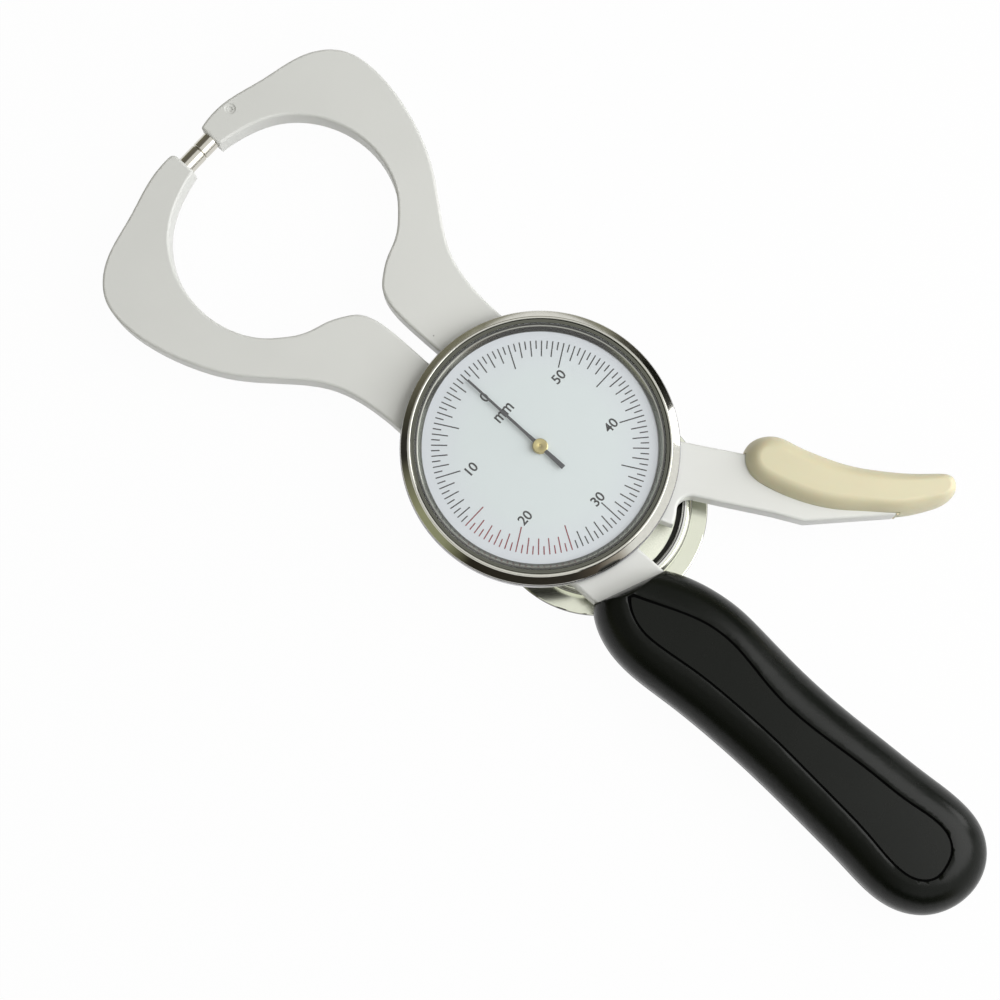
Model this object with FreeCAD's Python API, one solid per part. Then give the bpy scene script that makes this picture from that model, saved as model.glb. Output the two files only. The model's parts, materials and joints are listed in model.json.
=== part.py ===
"""Skinfold caliper with a dial: two jaw arms on one pivot, a spring drum behind, a geared dial in front.

Frame, in millimetres: the pivot axis is Z, with z = 0 on the back of the spring drum.  +Y runs from the
pivot to the contact pins, +X lies on the side of the squeeze lever and +Z points out of the dial.
The jaws are drawn closed.  Squeezing the lever turns its arm clockwise, to -25 degrees.
"""
import FreeCAD, Part

import math
import os

from FreeCAD import Vector

# ---- driving dimensions -------------------------------------------------------------------------
# jaw arms
ARM_BACK = 7.5
ARM_FRONT = 14.5
ARM_MID = (ARM_BACK + ARM_FRONT) / 2
ARM_EDGE_ROUND = 0.8
SPLIT_X = -0.9                       # the jaws mirror each other across x = SPLIT_X
JAW_ROOT_Y = 50.0                    # below this the arms are straight bars
BAR_LEFT = -20.6
BAR_RIGHT = -3.0
END_FACE_GAP = 4.9                   # from one jaw's end face to the other arm's side of the split

# contact pins
PIN_R = 2.5
PIN_Y = 138.6
PIN_LENGTH = 15.0
PIN_CONTACT_X = -0.45
PIN_CHAMFER = 0.3
SET_SCREW_R = 1.5
SET_SCREW_OFFSET = 13.66             # from the split, along X
SET_SCREW_Y = 139.6

# pivot and half-lap
LAP_R = 14.0
LAP_CLEARANCE_R = 14.3
LAP_WASHER_THICKNESS = 0.3
HUB_R = 19.8
HUB_EDGE_ANGLE = -68.5
SHAFT_R = 4.0
SHAFT_CLEARANCE = 0.03
SHAFT_HEAD_R = 9.0
BUSH_R = 5.5

# spring drum
DRUM_FLANGE_R = 28.35
DRUM_FLANGE_TOP = 2.0
DRUM_WALL_R = 24.0
DRUM_BORE_R = 21.2
DRUM_WALL_TOP = 7.1
DRUM_SHOULDER = 1.2
DRUM_LEDGE_R = 18.8
COVER_R = 20.2
COVER_BACK = 4.8
COVER_FRONT = 5.6
DRUM_SCREW_CIRCLE = 22.6
DRUM_SCREW_ANGLES = (112, 138, 222, 248)
COVER_SCREW_CIRCLE = 19.5
COVER_SCREW_ANGLES = (20, 140, 260)

# movement: sector and pinion
GEAR_MODULE = 0.25
SECTOR_TEETH = 144                   # on the full circle
PINION_TEETH = 10
PRESSURE_ANGLE = math.radians(20)
PROFILE_SHIFT = 0.5                  # plus on the pinion, minus on the sector
TOOTH_THINNING = 0.02
CENTRE_DISTANCE = GEAR_MODULE * (SECTOR_TEETH + PINION_TEETH) / 2
DIAL_X = -0.75
DIAL_Y = math.sqrt(CENTRE_DISTANCE ** 2 - DIAL_X ** 2)
DIAL = (DIAL_X, DIAL_Y)

# dial case and bezel
CASE_FLOOR_BACK = 14.8
CASE_FLOOR_FRONT = 15.6
CASE_WALL_R = 32.3
CASE_WALL_TOP = 16.8
CASE_SCREWS = ((-16.5, 6.0), (-7.0, 30.0), (-16.0, 42.0))
SNAP_BACK = 15.65                    # the wire ring that holds the bezel on its case
SNAP_FRONT = 16.25
BEZEL_R = 35.15
BEZEL_BACK = 15.1
BEZEL_SHOULDER = 18.05               # top of the knurled skirt
CONE_R = 34.75                       # foot of the coned side, above the skirt
BEZEL_TOP = 20.9
CREST_OUTER = 33.2
CREST_INNER = 32.5
LAND_R = 30.75                       # inner edge of the level land in the funnel under the crystal
LAND_TOP = 19.5
DIAL_OPENING_R = 29.75
DIAL_R = 30.9
DIAL_BACK = 17.6
DIAL_FRONT = 18.0
DIAL_CLIP_R = 31.4
DIAL_CLIP_BACK = 17.25
CRYSTAL_R = 31.6
CRYSTAL_BACK = 19.9
CRYSTAL_FRONT = 20.5
BRIDGE_BACK = 16.9
BRIDGE_FRONT = 17.4
BRIDGE_PILLARS = ((-8.5, 23.5), (7.5, 23.5))

# handle and grip
HANDLE_BACK = 0.0
HANDLE_PARTING = ARM_MID
HANDLE_FRONT = 22.0
HANDLE_WALL = 1.0                    # straight wall beside the parting line
PARTING_CHAMFER = 0.25
PARTING_DIP = 0.016                  # share of the way to the panel, at the parting line
GROOVE_WIDTH = 0.6                   # engraved round the front panel
GROOVE_DEPTH = 0.4
HANDLE_SCREWS = ((-12.5, -42.0), (-12.5, -74.0), (-12.5, -103.0))
TANG_LEFT = -18.0
TANG_RIGHT = -7.0
TANG_END = -110.0
GRIP_HALF_HEIGHT = 7.4
GRIP_SCREWS = ((36.5, -31.0), (43.0, -47.0))


# ---- drawing helpers ----------------------------------------------------------------------------
def disc(radius, z0, z1, at=(0.0, 0.0)):
    return Part.makeCylinder(radius, z1 - z0, Vector(at[0], at[1], z0))


def tube(outer, inner, z0, z1, at=(0.0, 0.0)):
    return disc(outer, z0, z1, at).cut(disc(inner, z0, z1, at))


def turned(profile, at=(0.0, 0.0)):
    """Solid of revolution of a closed (radius, z) profile around the vertical axis through a point."""
    points = [Vector(radius, 0, z) for radius, z in profile]
    face = Part.Face(Part.makePolygon(points + points[:1]))
    solid = face.revolve(Vector(0, 0, 0), Vector(0, 0, 1), 360)
    solid.translate(Vector(at[0], at[1], 0))
    return solid


def line(start, end):
    return Part.LineSegment(Vector(*start, 0), Vector(*end, 0)).toShape()


def lines(points):
    return [line(a, b) for a, b in zip(points, points[1:])]


def curve(points, z=0.0):
    """Smooth edge through the points."""
    spline = Part.BSplineCurve()
    spline.interpolate([Vector(x, y, z) for x, y in points])
    return spline.toShape()


def arc(radius, start_angle, end_angle):
    """Arc around the pivot, from one angle to the other in degrees."""
    middle = (start_angle + end_angle) / 2
    ends = [Vector(*polar(radius, angle), 0) for angle in (start_angle, middle, end_angle)]
    return Part.Arc(*ends).toShape()


def polar(radius, angle, centre=(0.0, 0.0)):
    turn = math.radians(angle)
    return centre[0] + radius * math.cos(turn), centre[1] + radius * math.sin(turn)


def prism(edges, z0, z1):
    face = Part.Face(Part.Wire(Part.__sortEdges__(edges)))
    face.translate(Vector(0, 0, z0))
    return face.extrude(Vector(0, 0, z1 - z0))


def round_upright_edges(solid, corners, radius):
    """Rounds the upright edges that stand on the given points."""
    def stands_on(edge, corner):
        box = edge.BoundBox
        near = math.hypot(box.Center.x - corner[0], box.Center.y - corner[1]) < 0.01
        return near and box.ZLength > 1.0 and box.XLength < 0.01

    chosen = [edge for edge in solid.Edges if any(stands_on(edge, corner) for corner in corners)]
    return solid.makeFillet(radius, chosen)


def round_rims(solid, radius):
    """Rounds every edge that lies in the arms' back or front plane."""
    def lies_flat(edge):
        heights = [vertex.Z for vertex in edge.Vertexes]
        return any(all(abs(z - level) < 0.001 for z in heights) for level in (ARM_BACK, ARM_FRONT))

    return solid.makeFillet(radius, [edge for edge in solid.Edges if lies_flat(edge)])


def round_hoops(solid, hoops, radius):
    """Rounds the level circular edges with the given (radius, z)."""
    def is_hoop(edge, hoop):
        box = edge.BoundBox
        level = box.ZLength < 0.001 and abs(box.ZMax - hoop[1]) < 0.01
        return level and abs(box.XLength / 2 - hoop[0]) < 0.01

    chosen = [edge for edge in solid.Edges if any(is_hoop(edge, hoop) for hoop in hoops)]
    return solid.makeFillet(radius, chosen)


def screw(at, tip, head_seat, head_top, shank_r, head_r, countersunk=False):
    """Screw along Z; its head lies between head_seat and head_top, on either side of the tip."""
    shank = disc(shank_r, min(tip, head_seat), max(tip, head_seat), at)
    if countersunk:
        x, y = at
        axis = Vector(0, 0, 1 if head_top > head_seat else -1)
        head = Part.makeCone(shank_r, head_r, abs(head_top - head_seat), Vector(x, y, head_seat), axis)
    else:
        head = disc(head_r, min(head_seat, head_top), max(head_seat, head_top), at)
    return shank.fuse(head).removeSplitter()


def group(solids):
    return Part.makeCompound(solids)


# ---- jaw arms -----------------------------------------------------------------------------------
# Half widths of the jaw from the split line, from the bar up to the end face, as (u, y).
JAW_INNER = ((1.85, JAW_ROOT_Y), (2.0, 60.0), (2.1, 68.0), (2.8, 73.6), (4.6, 77.5), (7.6, 80.0),
             (11.3, 82.1), (15.2, 83.5), (18.7, 85.3), (21.8, 87.8), (25.5, 91.6), (28.7, 97.2),
             (30.6, 105.2), (30.1, 113.0), (27.2, 121.0), (20.7, 128.8), (11.2, 133.6),
             (END_FACE_GAP, 135.1))
JAW_OUTER = ((19.7, JAW_ROOT_Y), (20.2, 59.5), (22.9, 69.9), (29.5, 79.8), (38.3, 91.5), (42.0, 98.9),
             (45.8, 111.0), (46.8, 120.0), (45.0, 128.7), (38.8, 134.8), (25.0, 139.1), (14.5, 142.0),
             (END_FACE_GAP, 142.5))


def jaw_side(outline, side):
    return [(SPLIT_X + side * u, y) for u, y in outline]


def pin_axis_hole(side):
    start = SPLIT_X + side * (END_FACE_GAP - 1.0)
    end = PIN_CONTACT_X + side * PIN_LENGTH
    return Part.makeCylinder(PIN_R, abs(end - start), Vector(start, PIN_Y, ARM_MID), Vector(side, 0, 0))


def set_screw_place(side):
    return SPLIT_X + side * SET_SCREW_OFFSET, SET_SCREW_Y


def handle_arm():
    """Fixed arm: jaw, straight bar, lower half of the lap joint and the tang inside the handle."""
    inner = jaw_side(JAW_INNER, -1)
    outer = jaw_side(JAW_OUTER, -1)
    tang_round = (TANG_RIGHT - TANG_LEFT) / 2
    tang = [outer[0], (BAR_LEFT, -19.5), (TANG_LEFT, -24.5), (TANG_LEFT, TANG_END),
            (TANG_RIGHT, TANG_END), (TANG_RIGHT, -31.5), (BAR_RIGHT, -27.0), inner[0]]
    edges = [curve(inner), line(inner[-1], outer[-1]), curve(outer)] + lines(tang)
    arm = prism(edges, ARM_BACK, ARM_FRONT)
    arm = round_upright_edges(arm, [outer[-1]], 1.6)
    arm = round_upright_edges(arm, [(TANG_LEFT, TANG_END), (TANG_RIGHT, TANG_END)], tang_round - 0.5)
    arm = round_rims(arm, ARM_EDGE_ROUND)

    lap_top = ARM_MID - LAP_WASHER_THICKNESS / 2
    arm = arm.cut(disc(LAP_CLEARANCE_R, lap_top, ARM_FRONT + 1))
    arm = arm.fuse(disc(LAP_R, ARM_BACK, lap_top))
    arm = arm.cut(disc(BUSH_R, ARM_BACK, lap_top))

    arm = arm.cut(pin_axis_hole(-1))
    arm = arm.cut(disc(SET_SCREW_R, ARM_BACK, ARM_MID - PIN_R + 0.6, set_screw_place(-1)))
    for angle in DRUM_SCREW_ANGLES:
        arm = arm.cut(disc(1.25, ARM_BACK, 12.5, polar(DRUM_SCREW_CIRCLE, angle)))
    for at in CASE_SCREWS:
        arm = arm.cut(disc(1.0, 10.5, ARM_FRONT, at))
    for at in HANDLE_SCREWS:
        arm = arm.cut(disc(1.5, ARM_BACK, ARM_FRONT, at))
    return arm.removeSplitter()


# Squeeze lever: from the bar's outer side round to the lever's end, then back along its lower edge.
LEVER_BEND = ((18.8, 14.0), (19.15, 6.0), (21.2, 0.4), (24.75, -5.85))
LEVER_UPPER = ((24.75, -5.85), (32.95, -19.85), (39.25, -30.85), (44.9, -41.9), (52.7, -54.95))
LEVER_END = (46.7, -58.8)
LEVER_LOWER = ((29.95, -42.6), (26.05, -35.0), (20.35, -25.1))
HUB_MEETS_LEVER = -44.7              # angle where the hub's arc meets the lever's lower edge


def lever_outline():
    """Edges of the lever from the bar's outer side, round its end, to the hub's radial step."""
    meet = polar(HUB_R, HUB_MEETS_LEVER)
    edges = [curve(LEVER_BEND), curve(LEVER_UPPER), line(LEVER_UPPER[-1], LEVER_END)]
    edges += lines([LEVER_END, LEVER_LOWER[0]]) + lines(LEVER_LOWER) + [line(LEVER_LOWER[-1], meet)]
    edges += [arc(HUB_R, HUB_MEETS_LEVER, HUB_EDGE_ANGLE)]
    return edges


def lever_blank():
    """The moving arm's outline at full thickness, with its rims rounded."""
    inner = jaw_side(JAW_INNER, 1)
    outer = jaw_side(JAW_OUTER, 1)
    top = (inner[-1][0], 141.8)
    outer[-1] = top
    step = polar(HUB_R, HUB_EDGE_ANGLE)
    edges = [curve(inner), line(inner[-1], top), curve(outer), line(outer[0], LEVER_BEND[0])]
    edges += lever_outline() + [line(step, (0.0, 0.0)), line((0.0, 0.0), inner[0])]
    blank = prism(edges, ARM_BACK, ARM_FRONT)
    blank = round_upright_edges(blank, [polar(HUB_R, HUB_MEETS_LEVER)], 3.5)
    blank = round_upright_edges(blank, [top], 0.6)
    blank = round_upright_edges(blank, [LEVER_UPPER[-1], LEVER_END], 1.5)
    return round_rims(blank, ARM_EDGE_ROUND)


def lever_arm():
    """Moving arm: jaw, bar, upper half of the lap joint and the squeeze lever in one casting."""
    lap_back = ARM_MID + LAP_WASHER_THICKNESS / 2
    arm = lever_blank().fuse(disc(LAP_R, lap_back, ARM_FRONT))
    arm = arm.cut(disc(LAP_CLEARANCE_R, ARM_BACK - 1, lap_back))
    arm = arm.cut(disc(SHAFT_R, lap_back, ARM_FRONT))
    arm = arm.cut(pin_axis_hole(1))
    arm = arm.cut(disc(SET_SCREW_R, ARM_MID + PIN_R - 0.6, ARM_FRONT, set_screw_place(1)))
    for at in sector_screw_places():
        arm = arm.cut(disc(1.0, lap_back + 0.5, ARM_FRONT, at))
    for at in GRIP_SCREWS:
        arm = arm.cut(disc(1.25, ARM_BACK, ARM_FRONT, at))
    return arm.removeSplitter()


def jaw_pin(side):
    """Turned contact pin with a chamfered face, lying along X on one side of the contact plane."""
    profile = [(0, 0), (PIN_R - PIN_CHAMFER, 0), (PIN_R, PIN_CHAMFER),
               (PIN_R, PIN_LENGTH), (0, PIN_LENGTH)]
    pin = turned(profile)
    pin.rotate(Vector(0, 0, 0), Vector(0, 1, 0), 90 * side)
    pin.translate(Vector(PIN_CONTACT_X, PIN_Y, ARM_MID))
    return pin


def set_screw(side):
    """Headless screw that clamps a contact pin: from the front on the moving jaw, else the back."""
    reach = ARM_MID + side * PIN_R
    outer_end = ARM_MID + side * (PIN_R + 0.7)
    plug = disc(SET_SCREW_R, min(reach, outer_end), max(reach, outer_end), set_screw_place(side))
    socket_floor = outer_end - side * 0.4
    socket = Part.makePolygon([Vector(*polar(0.8, 60 * k, set_screw_place(side)), socket_floor)
                               for k in range(7)])
    return plug.cut(Part.Face(socket).extrude(Vector(0, 0, side)))


# ---- pivot --------------------------------------------------------------------------------------
CLIP_BACK = 6.4
CLIP_FRONT = 7.0
CLIP_GROOVE_R = 3.5
SHAFT_END = 2.3
SPRING_SLOT = 0.7
SECTOR_SCREW_CIRCLE = 6.3


def sector_screw_places():
    return [polar(SECTOR_SCREW_CIRCLE, angle) for angle in (30, 150, 270)]


def pivot_shaft():
    """Headed shaft: the head carries the sector, the end is slotted for the main spring."""
    head_front = ARM_FRONT + 1.4
    profile = [(0, SHAFT_END), (SHAFT_R - 0.3, SHAFT_END), (SHAFT_R, SHAFT_END + 0.3),
               (SHAFT_R, CLIP_BACK), (CLIP_GROOVE_R, CLIP_BACK), (CLIP_GROOVE_R, CLIP_FRONT),
               (SHAFT_R, CLIP_FRONT), (SHAFT_R, ARM_FRONT), (SHAFT_HEAD_R, ARM_FRONT),
               (SHAFT_HEAD_R, head_front), (0, head_front)]
    shaft = turned(profile)
    slot = Part.makeBox(2 * SHAFT_R + 2, SPRING_SLOT, COVER_BACK - SHAFT_END,
                        Vector(-SHAFT_R - 1, -SPRING_SLOT / 2, SHAFT_END))
    shaft = shaft.cut(slot)
    for at in sector_screw_places():
        shaft = shaft.cut(disc(1.0, ARM_FRONT, head_front, at))
    return shaft


def pivot_bush():
    return tube(BUSH_R, SHAFT_R + SHAFT_CLEARANCE, ARM_BACK, ARM_MID - LAP_WASHER_THICKNESS / 2)


def lap_washer():
    half = LAP_WASHER_THICKNESS / 2
    return tube(LAP_R - 1, SHAFT_R + 0.2, ARM_MID - half, ARM_MID + half)


def thrust_washer():
    return tube(8.0, SHAFT_R + 0.2, CLIP_FRONT, ARM_BACK)


def retaining_clip():
    """Open spring clip that sits in the shaft's groove."""
    clip = tube(6.2, CLIP_GROOVE_R, CLIP_BACK, CLIP_FRONT)
    return clip.cut(Part.makeBox(8, 4, 2, Vector(0, -2, CLIP_BACK - 0.5)))


# ---- spring drum --------------------------------------------------------------------------------
SPRING_STRIP = 0.5
SPRING_BACK = 2.4
SPRING_FRONT = 4.4
SPRING_INNER_R = 5.0
SPRING_OUTER_R = 17.6
SPRING_TURNS = 4
SPRING_STEP = 15                     # degrees between the strip's bends
SPRING_HOOK_REACH = 19.6


def drum_screw_places():
    return [polar(DRUM_SCREW_CIRCLE, angle) for angle in DRUM_SCREW_ANGLES]


def cover_screw_places():
    return [polar(COVER_SCREW_CIRCLE, angle) for angle in COVER_SCREW_ANGLES]


def spring_drum():
    """Flanged cup behind the arms, with a rounded rim, a ledge for its cover and four screw pads."""
    s = DRUM_SHOULDER
    bevel = s * (1 - math.sqrt(0.5))
    profile = [(0, 0), (DRUM_FLANGE_R - 0.3, 0), (DRUM_FLANGE_R, 0.3),
               (DRUM_FLANGE_R, DRUM_FLANGE_TOP - 0.3), (DRUM_FLANGE_R - 0.3, DRUM_FLANGE_TOP),
               (DRUM_WALL_R, DRUM_FLANGE_TOP), (DRUM_WALL_R, DRUM_WALL_TOP - s),
               (DRUM_WALL_R - bevel, DRUM_WALL_TOP - bevel), (DRUM_WALL_R - s, DRUM_WALL_TOP),
               (DRUM_BORE_R + s, DRUM_WALL_TOP), (DRUM_BORE_R + bevel, DRUM_WALL_TOP - bevel),
               (DRUM_BORE_R, DRUM_WALL_TOP - s), (DRUM_BORE_R, COVER_BACK), (DRUM_LEDGE_R, COVER_BACK),
               (DRUM_LEDGE_R, DRUM_FLANGE_TOP), (0, DRUM_FLANGE_TOP)]
    drum = turned(profile)
    for at in drum_screw_places():
        drum = drum.fuse(disc(2.3, 6.0, ARM_BACK, at))
    for at in drum_screw_places():
        drum = drum.cut(disc(1.25, 0, ARM_BACK, at)).cut(disc(2.3, 0, 1.5, at))
    for at in cover_screw_places():
        drum = drum.cut(disc(0.5, 3.3, COVER_BACK, at))
    hook = Part.makeBox(SPRING_HOOK_REACH - DRUM_LEDGE_R + 0.6, SPRING_SLOT, SPRING_FRONT - 2.0,
                        Vector(DRUM_LEDGE_R - 0.5, -SPRING_SLOT / 2, 2.0))
    return drum.cut(hook)


def main_spring():
    """Flat spiral strip; its inner tail sits in the shaft's slot and its outer tail in the drum."""
    growth = (SPRING_OUTER_R - SPRING_INNER_R) / (360 * SPRING_TURNS)

    def side(offset):
        steps = range(0, 360 * SPRING_TURNS + 1, SPRING_STEP)
        return [polar(SPRING_INNER_R + growth * angle + offset, angle) for angle in steps]

    half = SPRING_STRIP / 2
    outline = side(half) + side(-half)[::-1]
    strip = prism(lines(outline + outline[:1]), SPRING_BACK, SPRING_FRONT)
    height = SPRING_FRONT - SPRING_BACK
    inner_tail = Part.makeBox(SPRING_INNER_R + half, SPRING_STRIP, height,
                              Vector(0, -half, SPRING_BACK))
    outer_tail = Part.makeBox(SPRING_HOOK_REACH - SPRING_OUTER_R, SPRING_STRIP, height,
                              Vector(SPRING_OUTER_R, -half, SPRING_BACK))
    return strip.fuse(inner_tail).fuse(outer_tail).removeSplitter()


def spring_cover():
    cover = tube(COVER_R, SHAFT_R + 0.4, COVER_BACK, COVER_FRONT)
    for at in cover_screw_places():
        cover = cover.cut(disc(0.5, COVER_BACK, COVER_FRONT, at))
    return cover


# ---- movement -----------------------------------------------------------------------------------
SECTOR_BACK = ARM_FRONT + 1.4
SECTOR_FRONT = SECTOR_BACK + 0.8
SECTOR_TIP_R = GEAR_MODULE * (SECTOR_TEETH / 2 + 1 - PROFILE_SHIFT)
SECTOR_ROOT_R = GEAR_MODULE * (SECTOR_TEETH / 2 - 1.25 - PROFILE_SHIFT)
PINION_TIP_R = 1.58
PINION_ROOT_R = GEAR_MODULE * (PINION_TEETH / 2 - 1.25 + PROFILE_SHIFT)
CONTACT_ANGLE = math.degrees(math.atan2(DIAL_Y, DIAL_X))
TEETH_BEFORE = 2                     # sector teeth past the contact when the jaws are closed
TEETH_AFTER = 12                     # sector teeth that roll past the pinion as the jaws open


def involute(angle):
    return math.tan(angle) - angle


def half_tooth_angle(radius, teeth, shift):
    """Half the angle that a tooth covers at a radius, in degrees."""
    pitch_r = GEAR_MODULE * teeth / 2
    base_r = pitch_r * math.cos(PRESSURE_ANGLE)
    thickness = GEAR_MODULE * (math.pi / 2 + 2 * shift * math.tan(PRESSURE_ANGLE)) - TOOTH_THINNING
    at_radius = math.acos(min(1.0, base_r / radius))
    return math.degrees(thickness / (2 * pitch_r) + involute(PRESSURE_ANGLE) - involute(at_radius))


def tooth_edges(middle, teeth, shift, root_r, tip_r, centre=(0.0, 0.0)):
    """Both involute flanks and the tip of one tooth, with its two foot points."""
    base_r = GEAR_MODULE * teeth / 2 * math.cos(PRESSURE_ANGLE)
    start_r = max(root_r, base_r)
    radii = [start_r + (tip_r - start_r) * k / 3 for k in range(4)]
    widths = [half_tooth_angle(radius, teeth, shift) for radius in radii]
    right = [polar(r, middle - w, centre) for r, w in zip(radii, widths)]
    left = [polar(r, middle + w, centre) for r, w in zip(radii, widths)]
    foot_right = polar(root_r, middle - widths[0], centre)
    foot_left = polar(root_r, middle + widths[0], centre)
    edges = [curve(right), line(right[-1], left[-1]), curve(left)]
    if root_r < base_r - 0.001:
        edges += [line(foot_right, right[0]), line(left[0], foot_left)]
    return edges, foot_right, foot_left


def gear_sector():
    """Toothed sector on the shaft's head, with a windowed web."""
    pitch = 360 / SECTOR_TEETH
    edges = []
    feet = []
    for k in range(-TEETH_BEFORE, TEETH_AFTER + 1):
        middle = CONTACT_ANGLE + (k + 0.5) * pitch
        tooth, right, left = tooth_edges(middle, SECTOR_TEETH, -PROFILE_SHIFT,
                                         SECTOR_ROOT_R, SECTOR_TIP_R)
        edges += tooth
        feet += [right, left]
    edges += [line(feet[k], feet[k + 1]) for k in range(1, len(feet) - 1, 2)]
    first = CONTACT_ANGLE - TEETH_BEFORE * pitch
    last = CONTACT_ANGLE + (TEETH_AFTER + 1) * pitch
    start = polar(SECTOR_ROOT_R, first)
    end = polar(SECTOR_ROOT_R, last)
    hub_r = SHAFT_HEAD_R - 0.4
    edges += [line(start, feet[0]), line(feet[-1], end)]
    edges += [line(polar(hub_r - 1, first - 22), start), line(end, polar(hub_r - 1, last + 22))]
    edges += [line(polar(hub_r - 1, last + 22), polar(hub_r - 1, first - 22))]
    sector = prism(edges, SECTOR_BACK, SECTOR_FRONT).fuse(disc(hub_r, SECTOR_BACK, SECTOR_FRONT))

    inner, outer = 10.4, 15.8
    low, high = first + 4, last - 4
    window = [arc(outer, low, high), arc(inner, low, high),
              line(polar(inner, low), polar(outer, low)), line(polar(inner, high), polar(outer, high))]
    sector = sector.cut(prism(window, SECTOR_BACK, SECTOR_FRONT))
    sector = sector.cut(disc(2.5, SECTOR_BACK, SECTOR_FRONT))
    for at in sector_screw_places():
        hole = Part.makeCone(1.0, 1.9, SECTOR_FRONT - SECTOR_BACK, Vector(*at, SECTOR_BACK))
        sector = sector.cut(hole)
    return sector.removeSplitter()


def pinion_arbor():
    """Ten-leaf pinion cut on the arbor that carries the pointer."""
    edges = []
    feet = []
    for k in range(PINION_TEETH):
        middle = CONTACT_ANGLE + 180 + k * 360 / PINION_TEETH
        tooth, right, left = tooth_edges(middle, PINION_TEETH, PROFILE_SHIFT,
                                         PINION_ROOT_R, PINION_TIP_R, DIAL)
        edges += tooth
        feet += [right, left]
    edges += [line(feet[k], feet[(k + 1) % len(feet)]) for k in range(1, len(feet), 2)]
    leaves = prism(edges, SECTOR_BACK - 0.2, SECTOR_FRONT + 0.1)
    return leaves.fuse(disc(0.4, 14.9, SECTOR_BACK, DIAL)).fuse(disc(0.5, SECTOR_FRONT, 19.4, DIAL))


def movement_bridge():
    """Flat bridge over the pinion, carried on two pillars."""
    bridge = disc(2.2, BRIDGE_BACK, BRIDGE_FRONT, DIAL)
    for at in BRIDGE_PILLARS:
        bridge = bridge.fuse(disc(2.2, BRIDGE_BACK, BRIDGE_FRONT, at))
        run = math.hypot(at[0] - DIAL_X, at[1] - DIAL_Y)
        link = Part.makeBox(run, 3.2, BRIDGE_FRONT - BRIDGE_BACK, Vector(0, -1.6, BRIDGE_BACK))
        link.rotate(Vector(0, 0, 0), Vector(0, 0, 1),
                    math.degrees(math.atan2(at[1] - DIAL_Y, at[0] - DIAL_X)))
        link.translate(Vector(DIAL_X, DIAL_Y, 0))
        bridge = bridge.fuse(link)
    for at in BRIDGE_PILLARS:
        bridge = bridge.cut(Part.makeCone(0.8, 1.5, BRIDGE_FRONT - BRIDGE_BACK, Vector(*at, BRIDGE_BACK)))
    bridge = bridge.cut(disc(0.5 + SHAFT_CLEARANCE, BRIDGE_BACK, BRIDGE_FRONT, DIAL))
    return bridge.removeSplitter()


def bridge_pillars():
    return group([tube(1.8, 0.8, CASE_FLOOR_FRONT, BRIDGE_BACK, at) for at in BRIDGE_PILLARS])


def dial_case():
    """Shallow case behind the dial; pads under its floor stand on the fixed arm."""
    wall_inner = CASE_WALL_R - 1.0
    groove = CASE_WALL_R - 0.25
    profile = [(0, CASE_FLOOR_BACK), (CASE_WALL_R - 0.4, CASE_FLOOR_BACK),
               (CASE_WALL_R, CASE_FLOOR_BACK + 0.4), (CASE_WALL_R, SNAP_BACK - 0.05),
               (groove, SNAP_BACK - 0.05), (groove, SNAP_FRONT + 0.05),
               (CASE_WALL_R, SNAP_FRONT + 0.05), (CASE_WALL_R, CASE_WALL_TOP),
               (wall_inner, CASE_WALL_TOP), (wall_inner, CASE_FLOOR_FRONT), (0, CASE_FLOOR_FRONT)]
    case = turned(profile, DIAL)
    case = case.cut(disc(SHAFT_HEAD_R + 1.0, CASE_FLOOR_BACK, CASE_FLOOR_FRONT))
    for at in CASE_SCREWS:
        case = case.fuse(disc(2.6, ARM_FRONT, CASE_FLOOR_BACK, at))
    for at in CASE_SCREWS:
        case = case.cut(disc(1.0, ARM_FRONT, CASE_FLOOR_FRONT, at))
    for at in BRIDGE_PILLARS:
        case = case.cut(disc(0.8, CASE_FLOOR_BACK, CASE_FLOOR_FRONT, at))
    return case.cut(disc(0.4 + SHAFT_CLEARANCE, CASE_FLOOR_BACK, CASE_FLOOR_FRONT, DIAL))


# ---- dial and bezel -----------------------------------------------------------------------------
POINTER_BACK = 18.9
POINTER_FRONT = 19.15
POINTER_REACH = 24.9
POINTER_TAIL = 8.0
ZERO_ANGLE = 89.0


def bezel_ring():
    """Tall knurled skirt, coned side, flat crest, crystal seat and a coned funnel down to the dial."""
    bore = CASE_WALL_R + 0.3
    bore_top = CASE_WALL_TOP + 0.2
    groove = bore + 0.25
    groove_back, groove_front = SNAP_BACK - 0.15, SNAP_FRONT + 0.15
    ledge = CRYSTAL_FRONT - 0.1
    profile = [(BEZEL_R - 0.2, BEZEL_BACK), (BEZEL_R, BEZEL_BACK + 0.2),
               (BEZEL_R, BEZEL_SHOULDER), (CONE_R, BEZEL_SHOULDER + 0.4),
               (CREST_OUTER + 0.1, 20.15), (CREST_OUTER, 20.25), (CREST_OUTER, BEZEL_TOP),
               (CREST_INNER, BEZEL_TOP), (CREST_INNER - 0.55, ledge), (CRYSTAL_R, ledge),
               (CRYSTAL_R, CRYSTAL_BACK), (CRYSTAL_R - 0.2, CRYSTAL_BACK),
               (LAND_R + 0.35, LAND_TOP), (LAND_R, LAND_TOP), (DIAL_OPENING_R, DIAL_FRONT + 0.3),
               (DIAL_OPENING_R, DIAL_FRONT), (DIAL_R, DIAL_FRONT), (DIAL_R, DIAL_BACK),
               (DIAL_CLIP_R, DIAL_BACK), (DIAL_CLIP_R, DIAL_CLIP_BACK),
               (DIAL_CLIP_R - 0.4, DIAL_CLIP_BACK), (DIAL_CLIP_R - 0.4, bore_top), (bore, bore_top),
               (bore, groove_front), (groove, groove_front), (groove, groove_back),
               (bore, groove_back), (bore, BEZEL_BACK)]
    ring = turned(profile, DIAL)
    return round_hoops(ring, ((CREST_OUTER, BEZEL_TOP), (CREST_INNER, BEZEL_TOP)), 0.15)


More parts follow.
